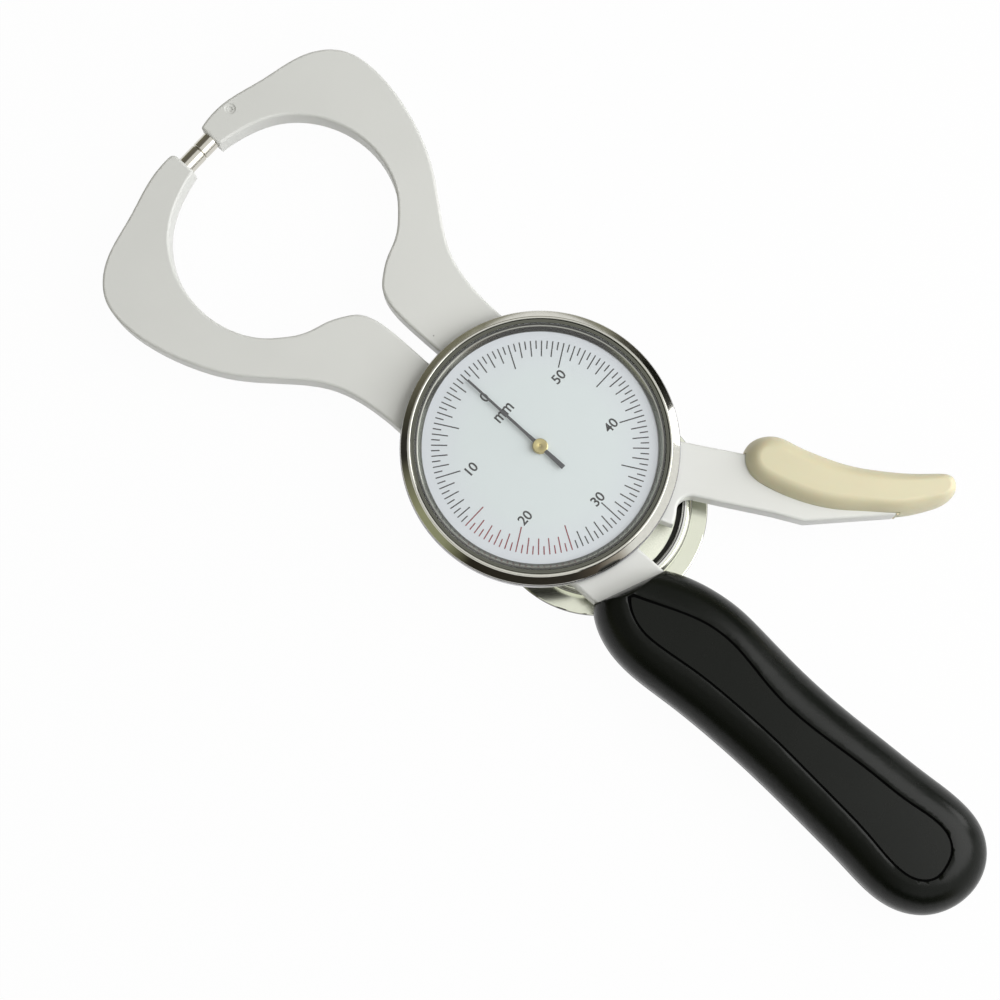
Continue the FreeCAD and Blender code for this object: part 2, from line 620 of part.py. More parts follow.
def bezel_snap_ring():
    """Open ring in the case's groove that springs into the bezel's groove."""
    ring = tube(CASE_WALL_R + 0.45, CASE_WALL_R - 0.25, SNAP_BACK, SNAP_FRONT, DIAL)
    return ring.cut(Part.makeBox(4, 3, 3, Vector(DIAL_X + CASE_WALL_R - 2, DIAL_Y - 1.5, 14.5)))


def dial_clip_ring():
    ring = tube(DIAL_CLIP_R, DIAL_CLIP_R - 1.6, DIAL_CLIP_BACK, DIAL_BACK, DIAL)
    return ring.cut(Part.makeBox(4, 3, 3, Vector(DIAL_X + 29, DIAL_Y - 1.5, 16)))


def dial_plate():
    return tube(DIAL_R, 1.3, DIAL_BACK, DIAL_FRONT, DIAL)


def crystal():
    return disc(CRYSTAL_R, CRYSTAL_BACK, CRYSTAL_FRONT, DIAL)


def pointer():
    """Tapered blade with a round eye on the hub, pointing at zero."""
    outline = [(-0.5, -POINTER_TAIL), (0.5, -POINTER_TAIL), (0.42, 0), (0.25, POINTER_REACH),
               (-0.25, POINTER_REACH), (-0.42, 0)]
    blade = prism(lines(outline + outline[:1]), POINTER_BACK, POINTER_FRONT)
    blade = blade.fuse(disc(1.6, POINTER_BACK, POINTER_FRONT))
    blade = blade.cut(disc(1.0, POINTER_BACK, POINTER_FRONT)).removeSplitter()
    blade.rotate(Vector(0, 0, 0), Vector(0, 0, 1), ZERO_ANGLE - 90)
    blade.translate(Vector(DIAL_X, DIAL_Y, 0))
    return blade


def pointer_hub():
    profile = [(0.5, 18.3), (1.9, 18.3), (1.9, POINTER_BACK), (1.0, POINTER_BACK),
               (1.0, POINTER_FRONT), (1.9, POINTER_FRONT), (1.9, 19.4), (1.6, 19.6), (0.5, 19.6)]
    return turned(profile, DIAL)


# ---- handle and grip ----------------------------------------------------------------------------
# Outline at the parting line, from the mouth's left corner round the butt to its right corner.
HANDLE_OUTLINE = ((-21.2, -16.9), (-25.1, -22.2), (-27.3, -29.0), (-27.8, -36.0), (-27.1, -46.0),
                  (-26.4, -60.0), (-26.5, -76.0), (-27.3, -92.0), (-28.3, -106.0), (-28.6, -118.0),
                  (-25.2, -126.4), (-18.5, -131.3), (-10.8, -132.5), (-3.7, -130.1), (1.4, -124.0),
                  (2.9, -116.5), (2.4, -106.5), (1.7, -94.0), (1.0, -78.0), (1.2, -66.0), (2.1, -54.0),
                  (2.6, -45.0), (1.6, -36.1), (-0.3, -29.4), (-2.4, -24.8))
# The flat panel's edge, which is the groove's outer side, point for point inside the outline.
PANEL_OUTLINE = ((-15.0, -22.3), (-17.6, -26.0), (-19.1, -30.5), (-19.1, -37.0), (-18.0, -46.4),
                 (-17.4, -59.0), (-17.5, -72.5), (-18.5, -88.0), (-20.0, -105.1), (-21.1, -114.5),
                 (-20.0, -119.8), (-16.9, -122.8), (-12.5, -123.0), (-8.6, -121.4), (-6.5, -118.5),
                 (-5.8, -114.5), (-6.7, -106.0), (-7.3, -95.4), (-8.3, -82.1), (-8.7, -68.5),
                 (-7.8, -60.8), (-6.1, -50.0), (-6.5, -42.1), (-9.3, -33.2), (-13.4, -22.9))


def blend(outline, core, share):
    """Outline with every point moved part of the way to its partner in the core."""
    return [(a[0] + (b[0] - a[0]) * share, a[1] + (b[1] - a[1]) * share)
            for a, b in zip(outline, core)]


def mouth_loop(points, z):
    """Smooth edge through the points, closed by the straight mouth."""
    mouth = Part.LineSegment(Vector(*points[-1], z), Vector(*points[0], z)).toShape()
    return Part.Wire([curve(points, z), mouth])


def handle_section(share, z):
    return mouth_loop(blend(HANDLE_OUTLINE, PANEL_OUTLINE, share), z)


def handle_half(panel_z):
    """Half of the handle: an elliptical shoulder rising from a short wall to the flat panel."""
    direction = 1 if panel_z > HANDLE_PARTING else -1
    wall_z = HANDLE_PARTING + direction * HANDLE_WALL
    chamfer_z = HANDLE_PARTING + direction * PARTING_CHAMFER
    sections = [handle_section(PARTING_DIP, HANDLE_PARTING), handle_section(0.0, chamfer_z)]
    for turn in (0, 25, 50, 70, 90):
        share = 1 - math.cos(math.radians(turn))
        rise = math.sin(math.radians(turn))
        sections.append(handle_section(share, wall_z + (panel_z - wall_z) * rise))
    wall = Part.makeLoft(sections[:3], True, True)
    shoulder = Part.makeLoft(sections[2:], True, False)
    return wall.fuse(shoulder).removeSplitter()


def tang_space():
    """Room for the bar and tang between the two scales."""
    root = jaw_side(JAW_INNER, -1)[0]
    shoulder = [(BAR_LEFT, JAW_ROOT_Y), (BAR_LEFT, -19.5), (TANG_LEFT, -24.5), (TANG_LEFT, TANG_END),
                (TANG_RIGHT, TANG_END), (TANG_RIGHT, -31.5), (BAR_RIGHT, -27.0), root]
    return prism(lines(shoulder + shoulder[:1]), ARM_BACK, ARM_FRONT)


def panel_inset(width):
    """The panel's outline moved inwards, across its own run and away from the mouth."""
    moved = []
    last = len(PANEL_OUTLINE) - 1
    for k, (x, y) in enumerate(PANEL_OUTLINE):
        before, after = PANEL_OUTLINE[max(k - 1, 0)], PANEL_OUTLINE[min(k + 1, last)]
        run_x, run_y = after[0] - before[0], after[1] - before[1]
        run = math.hypot(run_x, run_y)
        down = width if k in (0, last) else 0.0
        moved.append((x - width * run_y / run, y + width * run_x / run - down))
    return moved


def panel_groove():
    """Ring that follows the inside of the front panel's edge."""
    floor = HANDLE_FRONT - GROOVE_DEPTH
    height = Vector(0, 0, 2 * GROOVE_DEPTH)
    panel = Part.Face(mouth_loop(PANEL_OUTLINE, floor)).extrude(height)
    return panel.cut(Part.Face(mouth_loop(panel_inset(GROOVE_WIDTH), floor)).extrude(height))


def handle_front_scale():
    scale = handle_half(HANDLE_FRONT).cut(tang_space()).cut(panel_groove())
    for at in HANDLE_SCREWS:
        scale = scale.cut(disc(1.5, HANDLE_PARTING, 18.0, at))
    return scale


def handle_rear_scale():
    """Rear half, relieved around the drum, with counterbores for its screws."""
    scale = handle_half(HANDLE_BACK).cut(tang_space())
    scale = scale.cut(disc(DRUM_FLANGE_R + 0.3, HANDLE_BACK - 1, DRUM_FLANGE_TOP + 0.3))
    scale = scale.cut(disc(DRUM_WALL_R + 1.2, HANDLE_BACK, ARM_BACK))
    for at in HANDLE_SCREWS:
        scale = scale.cut(disc(1.5, HANDLE_BACK, ARM_BACK, at))
        scale = scale.cut(disc(2.7, HANDLE_BACK, 3.0, at))
    return scale


GRIP_OUTLINE = ((35.1, -19.0), (31.6, -20.6), (29.5, -24.0), (29.7, -29.8), (32.3, -37.8),
                (37.0, -46.5), (42.5, -53.4), (47.4, -59.3), (53.3, -63.7), (57.9, -65.9),
                (61.6, -65.6), (63.5, -62.9), (61.4, -59.0), (57.0, -54.0), (52.9, -48.4),
                (48.9, -42.0), (45.6, -34.3), (43.6, -28.0), (42.2, -23.4), (39.2, -20.1))
GRIP_SPINE = ((36.0, -26.0), (38.8, -36.0), (43.8, -45.5), (50.2, -54.2), (59.4, -62.4))


def nearest_on_spine(point):
    """The spine's closest point, so that sections shrink towards a curved centre line."""
    best = None
    for (x0, y0), (x1, y1) in zip(GRIP_SPINE, GRIP_SPINE[1:]):
        run_x, run_y = x1 - x0, y1 - y0
        along = ((point[0] - x0) * run_x + (point[1] - y0) * run_y) / (run_x ** 2 + run_y ** 2)
        along = min(1.0, max(0.0, along))
        spot = (x0 + along * run_x, y0 + along * run_y)
        gap = math.hypot(point[0] - spot[0], point[1] - spot[1])
        if best is None or gap < best[0]:
            best = (gap, spot)
    return best[1]


def lever_grip():
    """Soft banana-shaped grip, slotted over the lever's outer edge."""
    spine = [nearest_on_spine(point) for point in GRIP_OUTLINE]
    sections = []
    for turn in (-90, -65, -35, 0, 35, 65, 90):
        share = 0.62 * (1 - math.cos(math.radians(turn)))
        z = ARM_MID + GRIP_HALF_HEIGHT * math.sin(math.radians(turn))
        ring = Part.BSplineCurve()
        ring.interpolate([Vector(x, y, z) for x, y in blend(GRIP_OUTLINE, spine, share)],
                         PeriodicFlag=True)
        sections.append(Part.Wire([ring.toShape()]))
    grip = Part.makeLoft(sections, True, False)
    edges = [curve(LEVER_UPPER), line(LEVER_UPPER[-1], LEVER_END), line(LEVER_END, LEVER_LOWER[0])]
    edges += lines(LEVER_LOWER) + [line(LEVER_LOWER[-1], LEVER_UPPER[0])]
    grip = grip.cut(prism(edges, ARM_BACK, ARM_FRONT))
    for at in GRIP_SCREWS:
        grip = grip.cut(disc(1.25, 3.0, 17.0, at)).cut(disc(2.3, 3.0, 5.6, at))
    return grip


# ---- nodes --------------------------------------------------------------------------------------
def fastener_nodes():
    """Identical fasteners share a node."""
    return {
        "handle_screws": group([screw(at, 17.5, 3.0, 1.0, 1.5, 2.7) for at in HANDLE_SCREWS]),
        "drum_screws": group([screw(at, 12.0, 1.5, 0.1, 1.25, 2.3) for at in drum_screw_places()]),
        "spring_cover_screws": group([screw(at, 3.5, COVER_FRONT, COVER_FRONT + 0.4, 0.5, 0.9)
                                      for at in cover_screw_places()]),
        "dial_case_screws": group([screw(at, 10.8, CASE_FLOOR_FRONT, 16.5, 1.0, 1.9)
                                   for at in CASE_SCREWS]),
        "bridge_screws": group([screw(at, 14.9, BRIDGE_BACK, BRIDGE_FRONT, 0.8, 1.5, True)
                                for at in BRIDGE_PILLARS]),
        "sector_screws": group([screw(at, 11.8, SECTOR_BACK, SECTOR_FRONT, 1.0, 1.9, True)
                                for at in sector_screw_places()]),
        "grip_screws": group([screw(at, 16.5, 5.6, 4.0, 1.25, 2.3) for at in GRIP_SCREWS]),
    }


def all_nodes():
    nodes = {
        "handle_arm": handle_arm(),
        "lever_arm": lever_arm(),
        "fixed_jaw_pin": jaw_pin(-1),
        "moving_jaw_pin": jaw_pin(1),
        "fixed_jaw_set_screw": set_screw(-1),
        "moving_jaw_set_screw": set_screw(1),
        "pivot_shaft": pivot_shaft(),
        "pivot_bush": pivot_bush(),
        "lap_washer": lap_washer(),
        "thrust_washer": thrust_washer(),
        "retaining_clip": retaining_clip(),
        "spring_drum": spring_drum(),
        "main_spring": main_spring(),
        "spring_cover": spring_cover(),
        "gear_sector": gear_sector(),
        "pinion_arbor": pinion_arbor(),
        "movement_bridge": movement_bridge(),
        "bridge_pillars": bridge_pillars(),
        "dial_case": dial_case(),
        "bezel_ring": bezel_ring(),
        "bezel_snap_ring": bezel_snap_ring(),
        "dial_clip_ring": dial_clip_ring(),
        "dial_plate": dial_plate(),
        "crystal": crystal(),
        "pointer": pointer(),
        "pointer_hub": pointer_hub(),
        "handle_front_scale": handle_front_scale(),
        "handle_rear_scale": handle_rear_scale(),
        "lever_grip": lever_grip(),
    }
    nodes.update(fastener_nodes())
    return nodes


def main():
    os.makedirs("parts", exist_ok=True)
    for name, shape in all_nodes().items():
        volumes = ", ".join(f"{solid.Volume:.2f}" for solid in shape.Solids)
        print(f"{name}: {len(shape.Solids)} solid(s), valid {shape.isValid()}, {volumes} mm3")
        shape.exportStep(f"parts/{name}.step")


if __name__ == "__main__":
    main()
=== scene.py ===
"""Skinfold caliper with a dial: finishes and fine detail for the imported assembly.

Lengths are written in millimetres and turned to metres by MM.  The frame is the solids' own: the pivot
axis is Z, +Y runs to the contact pins, +X lies on the lever's side and +Z points out of the dial.
"""
import json

import bmesh
import bpy
import numpy as np
from mathutils import Matrix, Vector

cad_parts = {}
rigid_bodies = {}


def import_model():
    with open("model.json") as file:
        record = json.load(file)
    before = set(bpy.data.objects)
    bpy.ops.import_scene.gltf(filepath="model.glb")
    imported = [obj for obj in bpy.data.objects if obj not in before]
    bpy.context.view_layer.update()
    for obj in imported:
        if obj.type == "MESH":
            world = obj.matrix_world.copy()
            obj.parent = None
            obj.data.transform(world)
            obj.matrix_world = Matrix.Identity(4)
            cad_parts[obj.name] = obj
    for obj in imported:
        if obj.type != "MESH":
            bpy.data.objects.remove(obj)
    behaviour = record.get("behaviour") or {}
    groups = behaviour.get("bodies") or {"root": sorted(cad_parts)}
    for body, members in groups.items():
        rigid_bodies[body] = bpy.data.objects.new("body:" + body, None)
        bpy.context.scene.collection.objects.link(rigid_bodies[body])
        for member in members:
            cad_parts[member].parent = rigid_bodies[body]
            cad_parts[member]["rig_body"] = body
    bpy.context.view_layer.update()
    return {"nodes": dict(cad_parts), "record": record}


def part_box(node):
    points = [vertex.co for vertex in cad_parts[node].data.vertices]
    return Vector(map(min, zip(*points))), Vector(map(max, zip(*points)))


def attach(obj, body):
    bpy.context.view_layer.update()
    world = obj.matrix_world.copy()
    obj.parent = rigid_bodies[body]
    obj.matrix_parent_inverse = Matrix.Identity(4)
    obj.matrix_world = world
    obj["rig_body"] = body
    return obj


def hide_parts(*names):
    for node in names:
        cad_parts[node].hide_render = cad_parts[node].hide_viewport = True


bl_info = {
    "name": "Skinfold Caliper",
    "version": (1, 0, 0),
    "blender": (4, 5, 0),
    "location": "3D View > Sidebar > Caliper",
    "description": "Dresses a dial skinfold caliper in enamel, nickel, black moulding and ivory vinyl",
    "category": "Object",
}

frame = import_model()

MM = 0.001
SHARP_ANGLE = np.radians(32)
FLAT_ANGLE = np.radians(0.05)        # facets closer to level than this are one flat face
WELD = 2e-6                          # corners of a solid's facets closer than this are one, in metres
SPECK = 1e-7                         # the same for surfaces worked out here


def node_centre(name):
    """Middle of a solid's box, in metres."""
    low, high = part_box(name)
    return (low + high) / 2


DIAL = node_centre("bezel_ring")
PIVOT = Vector((0.0, 0.0, 0.0))
DIAL_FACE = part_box("dial_plate")[1].z
SCALE_OUTER = 27.4 * MM
ZERO_ANGLE = 89.0                    # degrees, where the pointer rests
TICKS = 120                          # half millimetres in one turn of 60
RED_TICKS = range(30, 51)            # 15 to 25 millimetres


# ---- colours and nodes --------------------------------------------------------------------------
def linear(hex_code):
    """An sRGB hex colour as the linear values that shader sockets hold."""
    srgb = np.array([int(hex_code[k:k + 2], 16) for k in (1, 3, 5)]) / 255
    values = np.where(srgb <= 0.04045, srgb / 12.92, ((srgb + 0.055) / 1.055) ** 2.4)
    return tuple(float(value) for value in values)


def rgba(colour):
    """A colour with full opacity, as colour sockets take it."""
    return (colour[0], colour[1], colour[2], 1.0)


def darker(colour, amount):
    """A colour with a share of its brightness taken off."""
    return tuple(channel * (1 - amount) for channel in colour)


def add(tree, kind, inputs=None, **settings):
    """Adds a node with its settings; each input is a socket to link or a plain value."""
    made = tree.nodes.new(kind)
    for name, value in settings.items():
        setattr(made, name, value)
    for key, value in (inputs or {}).items():
        socket = made.inputs[key]
        if isinstance(value, bpy.types.NodeSocket):
            tree.links.new(value, socket)
        else:
            socket.default_value = rgba(value) if socket.type == "RGBA" else value
    return made


def plug(tree, shader, socket, value):
    """Lets a pattern give one of the shader's values."""
    tree.links.new(value, shader.inputs[socket])


def start(name, colour, roughness, **sockets):
    """A material with one Principled shader; uniform values sit on its own sockets."""
    material = bpy.data.materials.new(name)
    material.use_nodes = True
    tree = material.node_tree
    shader = tree.nodes["Principled BSDF"]
    shader.inputs["Base Color"].default_value = rgba(colour)
    shader.inputs["Roughness"].default_value = roughness
    for socket, value in sockets.items():
        shader.inputs[socket.replace("_", " ")].default_value = value
    return material, tree, shader


def placed(tree, centre=(0.0, 0.0, 0.0)):
    """Object coordinates counted from a centre, in metres."""
    coordinates = add(tree, "ShaderNodeTexCoord")
    shift = tuple(-value for value in centre)
    mapping = add(tree, "ShaderNodeMapping", {"Vector": coordinates.outputs["Object"], "Location": shift})
    return mapping.outputs["Vector"]


def height_up(tree):
    """Height above the ground, in metres."""
    return add(tree, "ShaderNodeSeparateXYZ", {"Vector": placed(tree)}).outputs["Z"]


def distance_out(tree, centre):
    """Distance from an upright axis, in metres."""
    flat = add(tree, "ShaderNodeVectorMath", {0: placed(tree, centre), 1: (1.0, 1.0, 0.0)},
               operation="MULTIPLY")
    out = add(tree, "ShaderNodeVectorMath", {0: flat.outputs["Vector"]}, operation="LENGTH")
    return out.outputs["Value"]


def grain(tree, size_mm, detail=2.0):
    """Cloudy noise whose lumps are about size_mm across."""
    noise = add(tree, "ShaderNodeTexNoise", {"Vector": placed(tree), "Scale": 1000 / size_mm,
                                             "Detail": detail, "Roughness": 0.55})
    return noise.outputs["Fac"]


def lathe_marks(tree, centre, pitch_mm):
    """Noise that changes only with the distance from an upright axis, as turning leaves it."""
    noise = add(tree, "ShaderNodeTexNoise", {"W": distance_out(tree, centre), "Scale": 1000 / pitch_mm,
                                             "Detail": 2.0}, noise_dimensions="1D")
    return noise.outputs["Fac"]


def mottled(tree, size_mm, first, second, detail=2.0):
    """Two colours that cloud into each other in lumps about size_mm across."""
    cloud = add(tree, "ShaderNodeMix", {0: grain(tree, size_mm, detail), 6: first, 7: second},
                data_type="RGBA")
    return cloud.outputs[2]


def uneven(tree, size_mm, low, high):
    """A roughness that wanders between two values in lumps about size_mm across."""
    wander = add(tree, "ShaderNodeMapRange", {"Value": grain(tree, size_mm), "To Min": low,
                                              "To Max": high})
    return wander.outputs["Result"]


def parted(tree, measure, border, near, far):
    """One colour short of a border and another past it; border is where the change starts and ends."""
    past = add(tree, "ShaderNodeMapRange", {"Value": measure, "From Min": border[0],
                                            "From Max": border[1]})
    colour = add(tree, "ShaderNodeMix", {0: past.outputs["Result"], 6: near, 7: far}, data_type="RGBA")
    return colour.outputs[2]


def bands(tree, measure, span, stops):
    """Colours along a measure, as (position, sRGB hex) stops, where 0 and 1 are the ends of its span."""
    along = add(tree, "ShaderNodeMapRange", {"Value": measure, "From Min": span[0], "From Max": span[1]})
    ramp = add(tree, "ShaderNodeValToRGB", {"Fac": along.outputs["Result"]})
    elements = ramp.color_ramp.elements
    for element, (position, hex_code) in zip(elements, stops):
        element.position = position
        element.color = rgba(linear(hex_code))
    for position, hex_code in stops[2:]:
        elements.new(position).color = rgba(linear(hex_code))
    return ramp.outputs["Color"]


def emboss(tree, shader, height, depth_mm, strength):
    """Relief too shallow for the outline, from a 0 to 1 height."""
    bump = add(tree, "ShaderNodeBump", {"Height": height, "Distance": depth_mm * MM, "Strength": strength})
    plug(tree, shader, "Normal", bump.outputs["Normal"])


def metres(*values_mm):
    return tuple(value * MM for value in values_mm)


# ---- finishes -----------------------------------------------------------------------------------
# Distances from the pivot, the dial's axis or the ground between which one finish ends.
DRUM_BORE = metres(21.18, 21.24)
DRUM_PIT = metres(4.2, 4.3)
FLANGE_EDGE = metres(28.22, 28.28)
FUNNEL_EDGE = metres(32.52, 32.60)
BEZEL_BACK = metres(15.16, 15.3)
DIAL_TINT = metres(18, 30)

# Colours across the drum's rim, from its bore out to the foot of its wall: light rings of painted
# reflection, and dark rings of painted shade in the grooves.
RIM_SPAN = metres(21.1, 24.1)
RIM_PAINTED_LIGHT = ((0.0, "#262624"), (0.10, "#262624"), (0.14, "#C4C4C0"), (0.24, "#C4C4C0"), (0.28, "#1E1E1C"),
             (0.33, "#1E1E1C"), (0.36, "#F0F0EE"), (0.56, "#F0F0EE"), (0.59, "#20201E"),
             (0.64, "#20201E"), (0.67, "#9D9E92"), (0.90, "#8C8D80"), (0.96, "#1C1C1A"), (1.0, "#1C1C1A"))

# Colours across the bezel's funnel, from the dial's opening out to the crest: light and dark rings of
# painted reflection.
FUNNEL_SPAN = metres(29.6, 32.8)
FUNNEL_PAINTED_REFLECTIONS = ((0.0, "#4C4F49"), (0.30, "#85877D"), (0.34, "#DFE0D6"), (0.43, "#DFE0D6"),
                (0.47, "#33332F"), (0.60, "#26261F"), (0.68, "#77786E"), (0.82, "#8C8D82"),
                (0.90, "#34342F"), (1.0, "#55564E"))


def stoved_enamel(colours):
    """Off-white stoved enamel on a cast arm: soft gloss, faint orange peel and a few dark pinholes."""
    material, tree, shader = start("stoved_enamel", colours.enamel, 0.36)
    ground = mottled(tree, 16.0, colours.enamel, darker(colours.enamel, 0.05))
    # One pinhole in about every 11 mm, 0.3 to 0.5 mm wide.
    cells = add(tree, "ShaderNodeTexVoronoi", {"Vector": placed(tree), "Scale": 1000 / 11.0})
    hole = add(tree, "ShaderNodeMapRange", {"Value": cells.outputs["Distance"], "From Min": 0.010,
                                            "From Max": 0.022, "To Min": 0.7, "To Max": 0.0})
    pitted = add(tree, "ShaderNodeMix", {0: hole.outputs["Result"], 6: ground, 7: linear("#4A4944")},
                 data_type="RGBA")
    plug(tree, shader, "Base Color", pitted.outputs[2])
    emboss(tree, shader, grain(tree, 1.3, 1.0), 0.012, 0.5)
    return material


def polished_pin_steel(colours):
    """Turned, then polished steel: bright streaks along the pin, with tool rings too fine to count."""
    material, tree, shader = start("polished_pin_steel", linear("#D2CFC6"), 0.13, Metallic=1.0)
    across = add(tree, "ShaderNodeSeparateXYZ", {"Vector": placed(tree)})
    # Tool rings are 0.05 mm apart on the real pin and drawn at 0.14 mm, so that they show.
    rings = add(tree, "ShaderNodeTexNoise", {"W": across.outputs["X"], "Scale": 1000 / 0.14},
                noise_dimensions="1D")
    emboss(tree, shader, rings.outputs["Fac"], 0.004, 0.5)
    return material


def mirror_nickel(colours):
    """Bright nickel plate on the drum's rim: nearly a mirror, coloured in light rings of painted
    reflection, with painted shade in its fine grooves.
    """
    material, tree, shader = start("mirror_nickel", linear("#EDEEE6"), 0.08, Metallic=1.0)
    plug(tree, shader, "Base Color", bands(tree, distance_out(tree, PIVOT), RIM_SPAN, RIM_PAINTED_LIGHT))
    plug(tree, shader, "Roughness", uneven(tree, 7.0, 0.05, 0.12))
    return material


def lapped_nickel(colours):
    """Lapped nickel plate on the drum's flange: even, faintly yellow-green, with painted shade inside the
    bore and past the flange's outer edge.
    """
    material, tree, shader = start("lapped_nickel", linear("#EDEFE0"), 0.17, Metallic=1.0)
    out = distance_out(tree, PIVOT)
    plate = mottled(tree, 5.0, linear("#EEF0E1"), linear("#E0E3D0"))
    # Painted shade: dark grey past the flange's outer edge, and near black in the bore above the pit's
    # height.
    plate_with_edge_shade = parted(tree, out, FLANGE_EDGE, plate, linear("#5A5A54"))
    bore_painted_shade = parted(tree, height_up(tree), DRUM_PIT, plate_with_edge_shade, linear("#2A2A27"))
    plug(tree, shader, "Base Color", parted(tree, out, DRUM_BORE, bore_painted_shade, plate_with_edge_shade))
    return material


def blasted_plate(colours):
    """Bead-blasted aluminium: grainy and pale, without a clear reflection."""
    material, tree, shader = start("blasted_plate", linear("#E9EBDC"), 0.46, Metallic=1.0)
    # The beads' dents are about 0.1 mm wide and drawn at 0.35 mm, so that they show.
    grit = grain(tree, 0.35, 3.0)
    dents = add(tree, "ShaderNodeMix", {0: grit, 6: linear("#CDD0BF"), 7: linear("#FAFBEE")},
                data_type="RGBA")
    plug(tree, shader, "Base Color", dents.outputs[2])
    emboss(tree, shader, grit, 0.05, 0.8)
    return material


def turned_aluminium(colours):
    """Turned aluminium: rings round the dial's axis under a dull shine."""
    # Painted shade: the case's grey is kept dark, as it sits in shade under the bezel.
    material, tree, shader = start("turned_aluminium", linear("#8F8E8A"), 0.33, Metallic=1.0)
    emboss(tree, shader, lathe_marks(tree, DIAL, 0.35), 0.008, 0.5)
    return material


def satin_nickel(colours):
    """Nickel-plated brass, turned and polished: pale outside; in the funnel, light and dark rings of
    painted reflection with dark turned rings over them; painted shade on the hidden back.
    """
    material, tree, shader = start("satin_nickel", colours.nickel, 0.09, Metallic=1.0)
    streaks = lathe_marks(tree, DIAL, 0.22)
    polished = mottled(tree, 1.1, colours.nickel, darker(colours.nickel, 0.28), 3.0)
    outside = add(tree, "ShaderNodeMix", {0: streaks, 6: polished, 7: darker(colours.nickel, 0.12)},
                  data_type="RGBA")
    out = distance_out(tree, DIAL)
    # Light and dark rings of painted reflection in the funnel.
    funnel = bands(tree, out, FUNNEL_SPAN, FUNNEL_PAINTED_REFLECTIONS)
    # Turned rings are about 0.2 mm apart and drawn at 0.6 mm in the funnel, so that they show.
    wear = add(tree, "ShaderNodeMapRange", {"Value": lathe_marks(tree, DIAL, 0.6), "From Min": 0.42,
                                            "From Max": 0.62, "To Max": 0.55})
    worn = add(tree, "ShaderNodeMix", {0: wear.outputs["Result"], 6: funnel, 7: linear("#3A3B36")},
               data_type="RGBA")
    face = parted(tree, out, FUNNEL_EDGE, worn.outputs[2], outside.outputs[2])
    plug(tree, shader, "Base Color", unplated_back(tree, face))
    plug(tree, shader, "Roughness", uneven(tree, 5.0, 0.05, 0.10))
    emboss(tree, shader, streaks, 0.002, 0.25)
    return material


def unplated_back(tree, colour):
    """A colour that gives way to dark brown on the bezel's hidden back: painted shade under the bezel,
    which the drum's flange mirrors.
    """
    return parted(tree, height_up(tree), BEZEL_BACK, linear("#2B2926"), colour)


def knurled_nickel(colours):
    """The same plate on the knurl: greyer all over, in cloudy lumps, with painted shade on its hidden back.
    """
    material, tree, shader = start("knurled_nickel", linear("#B4B3B6"), 0.26, Metallic=1.0)
    grey_lumps = mottled(tree, 3.0, linear("#A09FA3"), linear("#C4C3C6"))
    plug(tree, shader, "Base Color", unplated_back(tree, grey_lumps))
    return material


def sprayed_dial(colours):
    """Sprayed dial paint: matt, pale blue-white, a little more lilac towards the rim."""
    material, tree, shader = start("sprayed_dial", colours.dial, 0.55)
    ground = parted(tree, distance_out(tree, DIAL), DIAL_TINT, colours.dial, colours.dial_rim)
    plug(tree, shader, "Base Color", ground)
    emboss(tree, shader, grain(tree, 0.4), 0.003, 0.4)
    return material


def printing_ink(name, colour):
    """Pad-printed ink: flat, slightly uneven in density."""
    material, tree, shader = start(name, colour, 0.5)
    plug(tree, shader, "Base Color", mottled(tree, 0.5, colour, darker(colour, 0.3)))
    return material


def watch_glass(colours):
    """Clear acrylic window: colourless, with a hard shine."""
    return start("watch_glass", (1.0, 1.0, 1.0), 0.0, IOR=1.49, Transmission_Weight=1.0)[0]


def black_lacquer(colours):
    """Satin black lacquer over the steel blade, thinner and greyer in places."""
    material, tree, shader = start("black_lacquer", colours.pointer, 0.42)
    plug(tree, shader, "Base Color", mottled(tree, 6.0, colours.pointer, darker(colours.pointer, 0.2)))
    return material


def turned_brass(colours):
    """Turned brass button with faint rings round its own axis."""
    material, tree, shader = start("turned_brass", colours.brass, 0.36, Metallic=1.0)
    # Tool rings are about 0.1 mm apart and drawn at 0.5 mm, so that they show.
    rings = add(tree, "ShaderNodeMix", {0: lathe_marks(tree, DIAL, 0.5), 6: darker(colours.brass, 0.22),
                                        7: colours.brass}, data_type="RGBA")
    plug(tree, shader, "Base Color", rings.outputs[2])
    return material


def black_moulding(colours):
    """Compression-moulded black plastic: satin, with a very fine spark-eroded grain."""
    material, tree, shader = start("black_moulding", colours.handle, 0.27, Specular_IOR_Level=0.17)
    plug(tree, shader, "Roughness", uneven(tree, 9.0, 0.23, 0.31))
    plug(tree, shader, "Base Color", mottled(tree, 1.5, colours.handle, darker(colours.handle, 0.25), 3.0))
    # The spark-eroded grain is about 0.05 mm across and drawn at 0.3 mm, so that it shows.
    emboss(tree, shader, grain(tree, 0.3), 0.006, 0.35)
    return material


def dusty_groove(colours):
    """Bottom of the engraved line in the handle: unpolished, dead black, as painted shade in the groove."""
    return start("dusty_groove", linear("#030303"), 0.9, Specular_IOR_Level=0.05)[0]


def ivory_vinyl(colours):
    """Dip-moulded ivory vinyl: soft sheen, light sinks in a little, slightly cloudy."""
    material, tree, shader = start("ivory_vinyl", colours.grip, 0.42, Subsurface_Weight=0.12,
                                   Subsurface_Scale=2.5 * MM)
    plug(tree, shader, "Base Color", mottled(tree, 14.0, colours.grip, darker(colours.grip, 0.07)))
    emboss(tree, shader, grain(tree, 2.2, 1.0), 0.012, 0.4)
    return material


def tempered_strip(colours):
    """Tempered spring strip: blue-grey with a straw tint in places."""
    material, tree, shader = start("tempered_strip", linear("#6C6E72"), 0.28, Metallic=1.0)
    plug(tree, shader, "Base Color", mottled(tree, 6.0, linear("#5F656E"), linear("#7D786A")))
    return material


